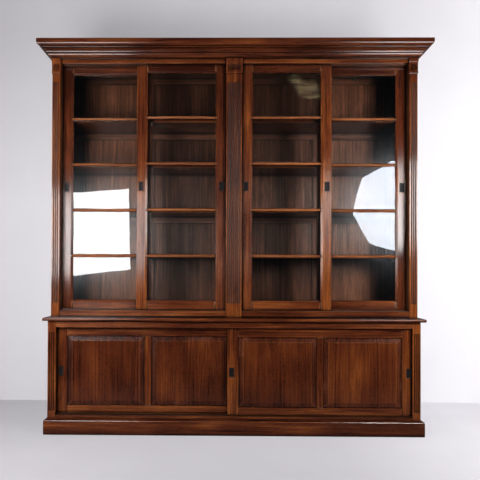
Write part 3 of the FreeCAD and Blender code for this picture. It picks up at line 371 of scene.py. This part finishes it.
def makeGlass():
    material, tree = newMaterial("paneGlass")
    place = objectPlace(tree)
    bump = bumped(tree, noise(tree, place, glass["waveScale"], 1.0), *glass["wave"])
    fresnel = addNode(tree, "ShaderNodeFresnel", {"IOR": glass["index"], "Normal": bump}).outputs[0]
    through = addNode(tree, "ShaderNodeBsdfTransparent", {"Color": (*glass["tint"], 1.0)}).outputs[0]
    # painted reflection: what the panes mirror turns darker and bluer towards the far right
    across = addNode(tree, "ShaderNodeSeparateXYZ", {0: place}).outputs["X"]
    cloudy = spread(tree, noise(tree, place, glass["cloudScale"], 2.0), *noiseBand)
    dull = mixColour(tree, cloudy, glass["dull"], scaled(glass["dull"], glass["cloudLift"]))
    mirrored = mixColour(tree, spread(tree, across, *glass["dullFrom"]), glass["clean"], dull)
    mirror = addNode(tree, "ShaderNodeBsdfGlossy",
                     {"Color": mirrored, "Roughness": glass["rough"], "Normal": bump}).outputs[0]
    film = addNode(tree, "ShaderNodeBsdfGlossy",
                   {"Color": (*glass["film"], 1.0), "Roughness": glass["filmRough"],
                    "Normal": bump}).outputs[0]
    mirror = mixShaders(tree, glass["filmShare"], mirror, film)
    addNode(tree, "ShaderNodeOutputMaterial", {0: mixShaders(tree, fresnel, through, mirror)})
    return material


# steel of the flush pulls

steel = {
    "colour": (0.011, 0.0105, 0.011),
    "blotchScale": (60.0, 60.0, 60.0),
    "blotchShow": (0.35, 0.7),
    "blotchDark": 0.55,
    "brushedScale": (900.0, 900.0, 30.0),
    "brushedBump": (0.12, 0.0003),
    "rough": (0.42, 0.60),
    "metallic": 0.30,
    "shine": 0.15,
}


def makeSteel():
    material, tree = newMaterial("pullSteel")
    place = objectPlace(tree)
    blotch = noise(tree, place, steel["blotchScale"], 3.0)
    colour = mixColour(tree, spread(tree, blotch, *steel["blotchShow"]), steel["colour"],
                       scaled(steel["colour"], steel["blotchDark"]))
    bump = bumped(tree, noise(tree, place, steel["brushedScale"], 2.0), *steel["brushedBump"])
    shader = addNode(tree, "ShaderNodeBsdfPrincipled",
                     {"Base Color": colour, "Roughness": spread(tree, blotch, *noiseBand, *steel["rough"]),
                      "Normal": bump, "Metallic": steel["metallic"], "Specular IOR Level": steel["shine"]})
    addNode(tree, "ShaderNodeOutputMaterial", {0: shader.outputs[0]})
    return material


paneGlass = makeGlass()
pullSteel = makeSteel()
print("stage: glass and steel mixed")


# boards: each gets its own grain, tone and rubbed edges

boards = {
    "arrisWidth": 0.0011,    # rubbed edges of the show wood
    "fieldEdge": 0.0022,     # rubbed edge of a panel's raised field
    "slopeTone": -0.10,      # and the slope round it
    "toneSpread": 0.06,      # how far boards differ from each other
    "backTones": (0.10, -0.26, -0.14, 0.24),   # painted light and shade on the cabinet's back, bay by bay from left to right
    "backFrom": -1.1,        # where its painted light and shade begin,
    "backStep": 0.55,        # and how wide each one is
    "stileFrom": 0.4,        # a door's boards that stand higher than this are its stiles
    "shift": 9.0,            # how far the grain of two boards may lie apart
    "pithAside": 0.3,        # where the tree's middle was: a share of the board's width,
    "pithUnder": (0.03, 0.10),   # how far under the board,
    "pithLean": 0.10,        # and how much it leans
    "weld": 2e-5,
    "seed": 11,
}

# doors: width of the lip round the panes or panels, how far in from the ends of the frame it starts
doorLips = {
    "glazed": (0.0058, 0.055),
    "base": (0.0028, 0.040),
    "fromSides": 0.060,      # and how far in from its sides
    "steps": 3,              # segments of the lips that face right, which are worn round
}

# in degrees
angles = {
    "seam": 0.4,             # two triangles flatter to each other than this are one face
    "corner": 50.0,          # edges steeper than this are rubbed
    "fieldCorner": 4.0,      # on the raised panels
    "crisp": 28.0,           # edges steeper than this look crisp
    "crispDoor": 14.0,       # on the doors' frames and bars
    "lip": 34.0,             # a lip is smooth below this
}

slopeNormals = (0.01, 0.5)   # sideways or upright part of the normals on a panel's slope
facing = 0.9                 # and of the normal of a face that looks right
tiny, small, near = 0.0001, 0.001, 0.01   # metres

# piece: axis of the grain (None where its boards run in several), whether it is inner wood, and its tone
grains = {
    "plinth": (None, 0, -0.18), "base_floor_board": (0, 1, 0), "base_side_left": (2, 0, 0),
    "base_side_right": (2, 0, 0), "base_bottom_rail": (0, 0, 0), "base_top_rail": (0, 0, 0.04),
    "base_jambs": (2, 1, 0), "base_divider": (2, 1, 0), "base_shelves": (None, 1, 0),
    "base_runners": (0, 1, 0), "base_guide": (0, 1, 0), "base_back_frame": (None, 1, 0),
    "base_back_panels": (2, 1, 0), "waist_ledge": (0, 0, -0.06), "upper_floor_boards": (0, 1, 0),
    "upper_side_left": (2, 0, 0), "upper_side_right": (2, 0, 0), "upper_bottom_rails": (0, 0, -0.02),
    "frieze_rail": (0, 0, 0.34), "upper_jambs": (2, 1, 0), "centre_partition": (2, 1, 0),
    "top_board": (0, 1, 0), "shelf_battens": (1, 1, 0), "upper_back_frame": (None, 1, 0),
    "upper_back_panels": (2, 1, 0), "upper_runners": (0, 1, 0), "upper_guides": (0, 1, 0),
    "cornice_front": (0, 0, 0.10), "cornice_returns": (1, 0, 0.10), "cornice_frame": (None, 1, 0),
    "top_cover": (0, 1, 0), "base_door_left_panels": (2, 0, -0.28), "base_door_right_panels": (2, 0, -0.10),
}

# tone of a door's boards, partly painted shade, as the glazed doors' top rails and the first door's left
# stile are darker where the frieze and the left pilaster shade them: left stile, right stile, top rail,
# bottom rail, middle
doorTonesAndShade = {
    "glazed_door_1_frame": (-0.16, 0.20, -0.18, -0.06, 0.1),
    "glazed_door_2_frame": (0.14, -0.14, -0.10, -0.02, 0.1),
    "glazed_door_3_frame": (-0.02, 0.24, -0.08, -0.02, 0.1),
    "glazed_door_4_frame": (0.20, -0.06, -0.10, 0.0, 0.1),
    "base_door_left_frame": (-0.12, -0.04, -0.04, 0.10, -0.02),
    "base_door_right_frame": (0.06, 0.0, 0.0, 0.08, 0.0),
}

# fluted pieces: number of flutes, tone
fluted = {
    "pilaster_left": (3, 0.18),
    "pilaster_centre": (7, 0.15),
    "pilaster_right": (3, 0.26),
    "base_stile_left": (3, 0.22),
    "base_stile_right": (3, 0.22),
}


def bodyOf(node):
    for body, members in frame["record"]["behaviour"]["bodies"].items():
        if node in members:
            return body


def boardsOf(node):
    # the triangles of a piece come board by board, and a board ends where its skin closes
    mesh = frame["nodes"][node].data
    spots = [tuple(round(c * 1e5) for c in vert.co) for vert in mesh.vertices]   # hundredths of a mm
    openEdges, skin = set(), []
    for polygon in mesh.polygons:
        corners = [spots[i] for i in polygon.vertices]
        skin.append([mesh.vertices[i].co.copy() for i in polygon.vertices])
        for first, second in zip(corners, corners[1:] + corners[:1]):
            if (second, first) in openEdges:
                openEdges.remove((second, first))
            else:
                openEdges.add((first, second))
        if not openEdges:
            yield skin
            skin = []


def roundEdges(bm, edges, width, segments, slot):
    bmesh.ops.bevel(bm, geom=edges, offset=width, offset_type="OFFSET", segments=segments, profile=0.5,
                    affect="EDGES", clamp_overlap=True, material=slot)


def steepEdges(bm, angle):
    return [edge for edge in bm.edges if edge.is_manifold and edge.calc_face_angle() > math.radians(angle)]


def facesRight(edge):
    return any(face.normal.x > facing for face in edge.link_faces)


def boardShape(skin, arris, lip, angle):
    # one board without its seams, with its lips rounded and its edges rubbed
    bm = bmesh.new()
    for corners in skin:
        bm.faces.new([bm.verts.new(co) for co in corners])
    bmesh.ops.remove_doubles(bm, verts=bm.verts, dist=boards["weld"])
    bmesh.ops.dissolve_limit(bm, angle_limit=math.radians(angles["seam"]), verts=bm.verts, edges=bm.edges)
    if lip:
        width, onLip = lip
        worn = [edge for edge in steepEdges(bm, angle) if onLip(edge) and facesRight(edge)]
        roundEdges(bm, worn, width, doorLips["steps"], 1)
        roundEdges(bm, [edge for edge in steepEdges(bm, angle) if onLip(edge)], width, 1, 1)
    if arris:
        roundEdges(bm, steepEdges(bm, angle), arris, 1, 1)
    bm.verts.index_update()
    bm.normal_update()
    return bm


def doorLip(node):
    # the front edges of a door's frame and bars that stand round its panes or panels
    low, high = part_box(node)
    isFrame = node.endswith("_frame")
    width, fromEnds = doorLips["glazed" if node.startswith("glazed") else "base"]

    def onLip(edge):
        first, second = edge.verts[0].co, edge.verts[1].co
        if max(first.y, second.y) > low[1] + tiny:
            return False
        fromSide = min(min(v.x - low[0], high[0] - v.x) for v in (first, second))
        if isFrame and fromSide < doorLips["fromSides"]:
            return False
        if abs(first.z - second.z) < small:
            return not isFrame or low[2] + fromEnds < first.z < high[2] - fromEnds
        return isFrame
    return width, onLip


# a door board's tone, with painted shade on the glazed doors' top rails and the first door's left stile
def boardTone(node, low, high):
    left, right, top, bottom, middle = doorTonesAndShade[node]
    doorLow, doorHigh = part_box(node)
    if high[2] - low[2] > boards["stileFrom"]:
        return left if low[0] - doorLow[0] < near else right if doorHigh[0] - high[0] < near else middle
    return top if doorHigh[2] - high[2] < near else bottom


def roundLips(mesh):
    # a rounded lip is smooth in itself, with a crisp border towards the flat wood
    sides = {}
    for polygon in mesh.polygons:
        for key in polygon.edge_keys:
            sides.setdefault(key, []).append((polygon.material_index, polygon.normal))
    for edge in mesh.edges:
        (first, firstWay), (second, secondWay) = sides[edge.key]
        if first != second:
            edge.use_edge_sharp = True
        elif first == 1 and firstWay.angle(secondWay) < math.radians(angles["lip"]):
            edge.use_edge_sharp = False


def dressBoards(node, inner, tone, along):
    chance = random.Random(node + str(boards["seed"]))
    lip = doorLip(node) if node in doorTonesAndShade or node.endswith("_glazing_bars") else None
    raised = node.startswith("base_door") and node.endswith("_panels")
    arris = 0.0 if inner else boards["fieldEdge" if raised else "arrisWidth"]
    points, faces, slots, grain, rings, sheen, tones = [], [], [], [], [], [], []
    for skin in boardsOf(node):
        bm = boardShape(skin, arris, lip, angles["fieldCorner" if raised else "corner"])
        start = len(points)
        low = [min(v.co[i] for v in bm.verts) for i in range(3)]
        high = [max(v.co[i] for v in bm.verts) for i in range(3)]
        size = [high[i] - low[i] for i in range(3)]
        middle = [(low[i] + high[i]) / 2 for i in range(3)]
        first = size.index(max(size)) if along is None else along
        second, third = [i for i in range(3) if i != first]
        if size[second] < size[third]:
            second, third = third, second
        shift = [chance.uniform(-boards["shift"], boards["shift"]) for _ in range(3)]
        pith = (chance.uniform(-boards["pithAside"], boards["pithAside"]) * size[second],
                chance.uniform(*boards["pithUnder"]))
        lean = chance.uniform(-boards["pithLean"], boards["pithLean"])
        shade = boardTone(node, low, high) if node in doorTonesAndShade else tone
        # painted light and shade: each bay of the back is lighter or darker as the lamps reach it
        if node == "upper_back_panels":
            bay = int((middle[0] - boards["backFrom"]) / boards["backStep"])
            shade += boards["backTones"][min(3, bay)]
        elif inner or node.endswith("_panels"):
            shade += chance.gauss(0, 1) * boards["toneSpread"]
        for vert in bm.verts:
            points.append(vert.co[:])
            grain += [vert.co[first] + shift[0], vert.co[second] + shift[1], vert.co[third] + shift[2]]
            rings += [0.0, vert.co[second] - middle[second] + pith[0],
                      vert.co[third] - middle[third] + pith[1] + lean * (vert.co[first] - middle[first])]
            sheen += grainAxes[first][2]
            tones.append(shade)
        for face in bm.faces:
            faces.append([start + vert.index for vert in face.verts])
            tilt = max(abs(face.normal.x), abs(face.normal.z))
            slope = raised and slopeNormals[0] < tilt < slopeNormals[1]
            slots.append(1 if face.material_index else 2 if slope else 3 if first == 0 else 0)
        bm.free()
    mesh = bpy.data.meshes.new(node + "_boards")
    mesh.from_pydata(points, [], faces)
    for kind in ("inner",) * 4 if inner else ("front", "worn", "bevel", "level"):
        mesh.materials.append(woodFor(None, kind, raised, boards["slopeTone"] if kind == "bevel" else 0.0))
    mesh.polygons.foreach_set("material_index", slots)
    for name, values in (("woodCoord", grain), ("ringCoord", rings), ("sheenWay", sheen)):
        mesh.attributes.new(name, "FLOAT_VECTOR", "POINT").data.foreach_set("vector", values)
    mesh.attributes.new("boardTone", "FLOAT", "POINT").data.foreach_set("value", tones)
    mesh.shade_smooth()
    mesh.set_sharp_from_angle(angle=math.radians(angles["crispDoor" if lip else "crisp"]))
    if lip:
        roundLips(mesh)
    piece = bpy.data.objects.new(node + "_boards", mesh)
    bpy.context.collection.objects.link(piece)
    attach(piece, bodyOf(node))
    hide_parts(node)


def setFinish(piece, material):
    for slot in piece.material_slots:
        slot.material = material
    if not piece.material_slots:
        piece.data.materials.append(material)


def finishNodes():
    for node, piece in frame["nodes"].items():
        if node.endswith("_panes"):
            setFinish(piece, paneGlass)
        elif node.endswith("_pulls"):
            setFinish(piece, pullSteel)
        elif node not in fluted:
            along, inner, tone = grains.get(node, (None, 0, 0.0))
            if inner and along is not None and node != "upper_back_panels":
                setFinish(piece, woodFor(along, "inner", lift=tone))
            else:
                dressBoards(node, bool(inner), tone, along)


finishNodes()
print("stage: boards dressed")


# flutes of the pilasters and of the base's outer stiles

fluting = {
    "radius": 0.0046,
    "sunk": 0.0010,          # how far the middle of a flute lies before the face
    "pilasterPitch": 0.0122,
    "longFlute": (0.795, 2.156),    # from and to, metres above the floor
    "shortFlute": (2.226, 2.268),
    "drumProud": 0.0025,     # the short flutes are cut in a drum that stands this far out
    "stilePitch": 0.0132,
    "stileFlute": (0.140, 0.620),
    "darker": 0.26,          # tone of the flutes against their piece
    "edge": 0.0009,          # rubbed corners of these pieces
    "ledge": 0.0003,         # edges that rise less than this lie round a section and stay sharp
    "cornerAngle": 60.0,     # degrees
    "crisp": 35.0,
    "segments": 20,
    "ballRings": 12,
}

# height, how far the section stands proud of the shaft
pilasterSections = (
    (0.708, 0), (2.209, 0), (2.2095, 0.0028), (2.2115, 0.0035), (2.2165, 0.0035), (2.2185, 0.0028),
    (2.219, 0.0025), (2.270, 0.0025), (2.275, 0.0028), (2.281, 0.0038), (2.284, 0.0050), (2.304, 0.0050),
)
stileSections = ((0.0, 0), (0.689, 0))


def makeFluting():
    # cuts a row of round-ended flutes into the front of a block
    tree = bpy.data.node_groups.new("fluting", "GeometryNodeTree")
    tree.is_modifier = True
    face = tree.interface
    face.new_socket("Block", in_out="INPUT", socket_type="NodeSocketGeometry")
    for name, kind in (("Count", "Int"), ("Pitch", "Float"), ("Radius", "Float"), ("Half Length", "Float"),
                       ("Middle", "Vector"), ("Wood", "Material"), ("Flute Wood", "Material")):
        face.new_socket(name, in_out="INPUT", socket_type="NodeSocket" + kind)
    face.new_socket("Block", in_out="OUTPUT", socket_type="NodeSocketGeometry")
    given = tree.nodes.new("NodeGroupInput").outputs

    # a ball pulled apart at its middle is a rod with round ends
    ball = addNode(tree, "GeometryNodeMeshUVSphere",
                   {"Segments": fluting["segments"], "Rings": fluting["ballRings"],
                    "Radius": given["Radius"]})
    place = addNode(tree, "GeometryNodeInputPosition").outputs[0]
    height = addNode(tree, "ShaderNodeSeparateXYZ", {0: place}).outputs["Z"]
    half = times(tree, mathNode(tree, "SIGN", height), given["Half Length"])
    rise = addNode(tree, "ShaderNodeCombineXYZ", {"Z": half}).outputs[0]
    rod = addNode(tree, "GeometryNodeSetPosition",
                  {"Geometry": ball.outputs["Mesh"], "Offset": rise}).outputs[0]
    rod = addNode(tree, "GeometryNodeSetMaterial",
                  {"Geometry": rod, "Material": given["Flute Wood"]}).outputs[0]

    span = times(tree, given["Pitch"], mathNode(tree, "SUBTRACT", given["Count"], 1.0))
    back = addNode(tree, "ShaderNodeCombineXYZ", {"X": times(tree, span, -0.5)}).outputs[0]
    first = vectorMath(tree, "ADD", given["Middle"], back)
    step = addNode(tree, "ShaderNodeCombineXYZ", {"X": given["Pitch"]}).outputs[0]
    row = addNode(tree, "GeometryNodeMeshLine",
                  {"Count": given["Count"], "Start Location": first, "Offset": step},
                  mode="OFFSET").outputs[0]
    rods = addNode(tree, "GeometryNodeInstanceOnPoints", {"Points": row, "Instance": rod}).outputs[0]
    rods = addNode(tree, "GeometryNodeRealizeInstances", {0: rods}).outputs[0]
    cut = addNode(tree, "GeometryNodeMeshBoolean", {"Mesh 1": given["Block"], "Mesh 2": rods},
                  operation="DIFFERENCE", solver="EXACT")
    solid = addNode(tree, "GeometryNodeRealizeInstances", {0: cut.outputs["Mesh"]}).outputs[0]
    number = addNode(tree, "GeometryNodeInputMaterialIndex").outputs[0]
    plain = addNode(tree, "FunctionNodeCompare", {"A": number, "B": 0}, data_type="INT", operation="EQUAL")
    done = addNode(tree, "GeometryNodeSetMaterial",
                   {"Geometry": solid, "Selection": plain.outputs[0], "Material": given["Wood"]}).outputs[0]
    addNode(tree, "NodeGroupOutput", {0: done})
    return tree


def blockOf(name, low, high, sections, proud):
    bm = bmesh.new()
    rings = []
    for height, out in sections:
        left, right, front = low[0] + proud - out, high[0] - proud + out, low[1] + proud - out
        rings.append([bm.verts.new(co) for co in ((left, front, height), (right, front, height),
                                                  (right, high[1], height), (left, high[1], height))])
    bm.faces.new(list(reversed(rings[0])))
    bm.faces.new(rings[-1])
    for lower, upper in zip(rings, rings[1:]):
        for i in range(4):
            bm.faces.new((lower[i], lower[(i + 1) % 4], upper[(i + 1) % 4], upper[i]))
    corners = []
    for edge in steepEdges(bm, fluting["cornerAngle"]):
        first, second = edge.verts[0].co, edge.verts[1].co
        if abs(first.z - second.z) > fluting["ledge"] and first.y < high[1] - small:
            corners.append(edge)
    roundEdges(bm, corners, fluting["edge"], 1, 0)
    mesh = bpy.data.meshes.new(name)
    bm.to_mesh(mesh)
    bm.free()
    return mesh


def flutedPiece(node, sections, rows, tone):
    low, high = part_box(node)
    proud = max(out for _, out in sections)
    mesh = blockOf(node + "_fluted", low, high, sections, proud)
    plain = woodFor(2, "front", lift=tone)
    sunken = woodFor(2, "sunken", lift=tone - fluting["darker"])
    mesh.materials.append(plain)
    piece = bpy.data.objects.new(node + "_fluted", mesh)
    bpy.context.collection.objects.link(piece)
    middle = (low[0] + high[0]) / 2
    for count, pitch, bottom, top, face in rows:
        cut = piece.modifiers.new("fluting", "NODES")
        cut.node_group = flutingTree
        values = {"Count": count, "Pitch": pitch, "Radius": fluting["radius"],
                  "Half Length": (top - bottom) / 2 - fluting["radius"],
                  "Middle": (middle, low[1] + proud - face - fluting["sunk"], (top + bottom) / 2),
                  "Wood": plain, "Flute Wood": sunken}
        for socket in flutingTree.interface.items_tree:
            if socket.in_out == "INPUT" and socket.name in values:
                cut[socket.identifier] = values[socket.name]
    evaluated = piece.evaluated_get(bpy.context.evaluated_depsgraph_get())
    cutMesh = bpy.data.meshes.new_from_object(evaluated)
    piece.modifiers.clear()
    piece.data = cutMesh
    cutMesh.shade_smooth()
    cutMesh.set_sharp_from_angle(angle=math.radians(fluting["crisp"]))
    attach(piece, bodyOf(node))
    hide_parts(node)


flutingTree = makeFluting()
for node, (count, tone) in fluted.items():
    if node.startswith("pilaster"):
        rows = [(count, fluting["pilasterPitch"], *fluting["longFlute"], 0.0),
                (count, fluting["pilasterPitch"], *fluting["shortFlute"], fluting["drumProud"])]
        flutedPiece(node, pilasterSections, rows, tone)
    else:
        rows = [(count, fluting["stilePitch"], *fluting["stileFlute"], 0.0)]
        flutedPiece(node, stileSections, rows, tone)
print("stage: flutes cut")


# room: floor and wall

room = {
    "floorColour": (0.69, 0.672, 0.718),
    "wallColour": (0.88, 0.86, 0.91),
    "reach": 9.0,            # half the width of the floor
    "wallBehind": 0.70,
    "wallHeight": 6.0,
    "bounce": 0.60,          # share of those colours which lights the object
    "shine": 0.16,           # share of them which the varnish and the panes mirror
    "ownLight": 0.65,        # share of their own light that is even, and not from the lamps
    "acrossLight": (-2.6, 2.2, 0.44, 1.06),   # brighter to the right: from, to, and the light there
    "upLight": (1.5, 2.9, 0.0, -0.14),        # and the top of it darker
    "wallRight": (1.0, 1.8, 0.0, 0.26),       # brightest beyond the bookcase
    "floorRight": (0.6, 1.5, 0.0, 0.40),
    "wallThroughPane": 0.03,                  # the shaded wall behind the bookcase, seen through its panes
    "speckScale": (3.0, 3.0, 3.0),
    "speckDark": 0.97,
}


def flatPiece(name, corners, material):
    mesh = bpy.data.meshes.new(name)
    mesh.from_pydata(corners, [], [tuple(range(len(corners)))])
    mesh.materials.append(material)
    piece = bpy.data.objects.new(name, mesh)
    bpy.context.collection.objects.link(piece)
    return piece


def paleMaterial(name, colour, rightLight, isWall):
    # full colour for the camera, less for the light it gives back to the object
    material, tree = newMaterial(name)
    place = objectPlace(tree)
    parts = addNode(tree, "ShaderNodeSeparateXYZ", {0: place}).outputs
    rays = addNode(tree, "ShaderNodeLightPath").outputs
    speck = spread(tree, noise(tree, place, room["speckScale"], 4.0), *noiseBand)
    full = mixColour(tree, speck, colour, scaled(colour, room["speckDark"]))
    if isWall:
        share = spread(tree, rays["Transparent Depth"], 0.0, 1.0, 1.0, room["wallThroughPane"])
        full = dimmed(tree, full, share)
    level = spread(tree, parts["X"], *room["acrossLight"])
    level = plus(tree, level, spread(tree, parts["Z"], *room["upLight"]))
    level = plus(tree, level, spread(tree, parts["X"], *rightLight))
    glow = addNode(tree, "ShaderNodeEmission", {"Color": full, "Strength": level}).outputs[0]
    lit = addNode(tree, "ShaderNodeBsdfDiffuse", {"Color": full}).outputs[0]
    seen = mixShaders(tree, room["ownLight"], lit, glow)
    given = mixColour(tree, rays["Is Glossy Ray"],
                      scaled(colour, room["bounce"]), scaled(colour, room["shine"]))
    plain = addNode(tree, "ShaderNodeBsdfDiffuse", {"Color": given}).outputs[0]
    pale = mixShaders(tree, rays["Is Camera Ray"], plain, seen)
    addNode(tree, "ShaderNodeOutputMaterial", {0: clearBehind(tree, pale) if isWall else pale})
    return material


def makeRoom():
    side, back, top = room["reach"], room["wallBehind"], room["wallHeight"]
    flatPiece("floor", [(-side, -side, 0), (side, -side, 0), (side, side, 0), (-side, side, 0)],
              paleMaterial("paleFloor", room["floorColour"], room["floorRight"], False))
    flatPiece("wall", [(-side, back, 0), (side, back, 0), (side, back, top), (-side, back, top)],
              paleMaterial("paleWall", room["wallColour"], room["wallRight"], True))


# lamps that the panes of the outer doors mirror, and a warm one in the third door's top pane

lamps = {
    "distance": -1.75,       # plane in which they stand
    "paneFront": -0.1005,    # plane of the panes, where their places are given
    "colour": (1.0, 0.985, 0.97),
    "throw": 1.75,           # light that they give against their mirrored strength
    "left": ((-1.250, 1.467), (-0.660, 1.508), (-0.647, 1.003), (-1.250, 0.933)),
    "leftGlow": 21.0,
    "right": (1.030, 1.398, 0.2925, 187.5),   # an octagon: middle across and up, radius, turn of its corner
    "rightGlow": 26.0,
    "warm": (0.28, 0.60, 2.06, 2.31),         # left, right, bottom, top
    "warmColour": (1.0, 0.80, 0.42),
    "warmGlow": 4.0,
    "warmFade": (0.10, 0.75, 1.0, 0.0),       # from its middle outwards
    "raggedScale": 5.0,                       # and how ragged its edge is
    "raggedMiddle": (0.50, 0.50, 0.44),
    "ragged": (2.4, 0.0, 2.4),
    "patchScale": (3.0, 3.0, 22.0),
    "patchShow": (0.35, 0.62, 0.15, 1.0),
    "ceilingPlace": (0, -2.3, 3.7),           # wide soft lamp overhead
    "ceilingTilt": 42.0,
    "ceilingSize": (4.2, 1.8),
    "ceilingWatts": 12.0,
}


def lampCorner(x, z):
    # from the camera's mirror image through the pane to the plane of the lamps
    eyeX, eyeY, eyeZ = camera["place"]
    mirrorY = 2 * lamps["paneFront"] - eyeY
    reach = (lamps["distance"] - mirrorY) / (lamps["paneFront"] - mirrorY)
    return (eyeX + reach * (x - eyeX), lamps["distance"], eyeZ + reach * (z - eyeZ))


def makeGlow(name, strength):
    material, tree = newMaterial(name)
    mirrored = addNode(tree, "ShaderNodeLightPath").outputs["Is Glossy Ray"]
    power = spread(tree, mirrored, 0.0, 1.0, strength * lamps["throw"], strength)
    glow = addNode(tree, "ShaderNodeEmission",
                   {"Color": (*lamps["colour"], 1.0), "Strength": power}).outputs[0]
    addNode(tree, "ShaderNodeOutputMaterial", {0: clearBehind(tree, glow)})
    return material


def makeWarmGlow(corners):
    # fades out towards its edges
    material, tree = newMaterial("warmGlow")
    place = objectPlace(tree)
    middle = sum((Vector(c) for c in corners), Vector()) / 4
    halfWide, halfHigh = [abs(corners[0][i] - corners[2][i]) / 2 for i in (0, 2)]
    local = vectorMath(tree, "ADD", place, -middle)
    local = vectorMath(tree, "MULTIPLY", local, (1 / halfWide, 0.0, 1 / halfHigh))
    ragged = addNode(tree, "ShaderNodeTexNoise",
                     {"Vector": place, "Scale": lamps["raggedScale"], "Detail": 4.0}).outputs["Color"]
    ragged = vectorMath(tree, "SUBTRACT", ragged, lamps["raggedMiddle"])
    ragged = vectorMath(tree, "MULTIPLY", ragged, lamps["ragged"])
    fade = spread(tree, lengthOf(tree, vectorMath(tree, "ADD", local, ragged)), *lamps["warmFade"])
    patchy = spread(tree, noise(tree, place, lamps["patchScale"], 3.0), *lamps["patchShow"])
    strength = times(tree, times(tree, fade, patchy), lamps["warmGlow"])
    glow = addNode(tree, "ShaderNodeEmission",
                   {"Color": (*lamps["warmColour"], 1.0), "Strength": strength}).outputs[0]
    clear = addNode(tree, "ShaderNodeBsdfTransparent").outputs[0]
    both = addNode(tree, "ShaderNodeAddShader", {0: glow, 1: clear}).outputs[0]
    addNode(tree, "ShaderNodeOutputMaterial", {0: both})
    return material


def makeLamps():
    x, z, radius, turn = lamps["right"]
    turns = [math.radians(turn - 45 * corner) for corner in range(8)]
    octagon = [(x + radius * math.cos(a), z + radius * math.sin(a)) for a in turns]
    for name, corners, glow in (("leftLamp", lamps["left"], lamps["leftGlow"]),
                                ("rightLamp", octagon, lamps["rightGlow"])):
        lamp = flatPiece(name, [lampCorner(*corner) for corner in corners], makeGlow(name, glow))
        lamp.visible_camera = False

    left, right, bottom, top = lamps["warm"]
    corners = [lampCorner(x, z) for x, z in ((left, bottom), (left, top), (right, top), (right, bottom))]
    warm = flatPiece("warmLamp", corners, makeWarmGlow(corners))
    warm.visible_camera = False
    warm.visible_diffuse = False

    data = bpy.data.lights.new("ceilingLamp", "AREA")
    data.shape = "RECTANGLE"
    data.size, data.size_y = lamps["ceilingSize"]
    data.energy = lamps["ceilingWatts"]
    ceiling = bpy.data.objects.new("ceilingLamp", data)
    ceiling.location = lamps["ceilingPlace"]
    ceiling.rotation_euler = Euler((math.radians(lamps["ceilingTilt"]), 0, 0))
    ceiling.visible_glossy = False
    bpy.context.collection.objects.link(ceiling)


# world: colours and strengths

roomLight = {
    "fill": ((0.96, 0.98, 1.0, 1.0), 0.10),
    "mirrored": ((0.95, 0.98, 1.0, 1.0), 0.03),   # what the wood and the panes mirror besides the lamps
    "seen": ((1.0, 1.0, 1.0, 1.0), 1.0),          # past the floor and the wall
}


def makeRoomLight():
    world = bpy.data.worlds.new("roomLight")
    bpy.context.scene.world = world
    world.use_nodes = True
    tree = world.node_tree
    tree.nodes.clear()
    rays = addNode(tree, "ShaderNodeLightPath").outputs
    fill, mirrored, seen = [addNode(tree, "ShaderNodeBackground", {0: colour, 1: strength}).outputs[0]
                            for colour, strength in roomLight.values()]
    mixed = mixShaders(tree, rays["Is Glossy Ray"], fill, mirrored)
    mixed = mixShaders(tree, rays["Is Camera Ray"], mixed, seen)
    addNode(tree, "ShaderNodeOutputWorld", {0: mixed})
    bpy.context.scene.view_settings.view_transform = "Standard"


makeRoom()
makeLamps()
makeRoomLight()
print("stage: room and lamps set")
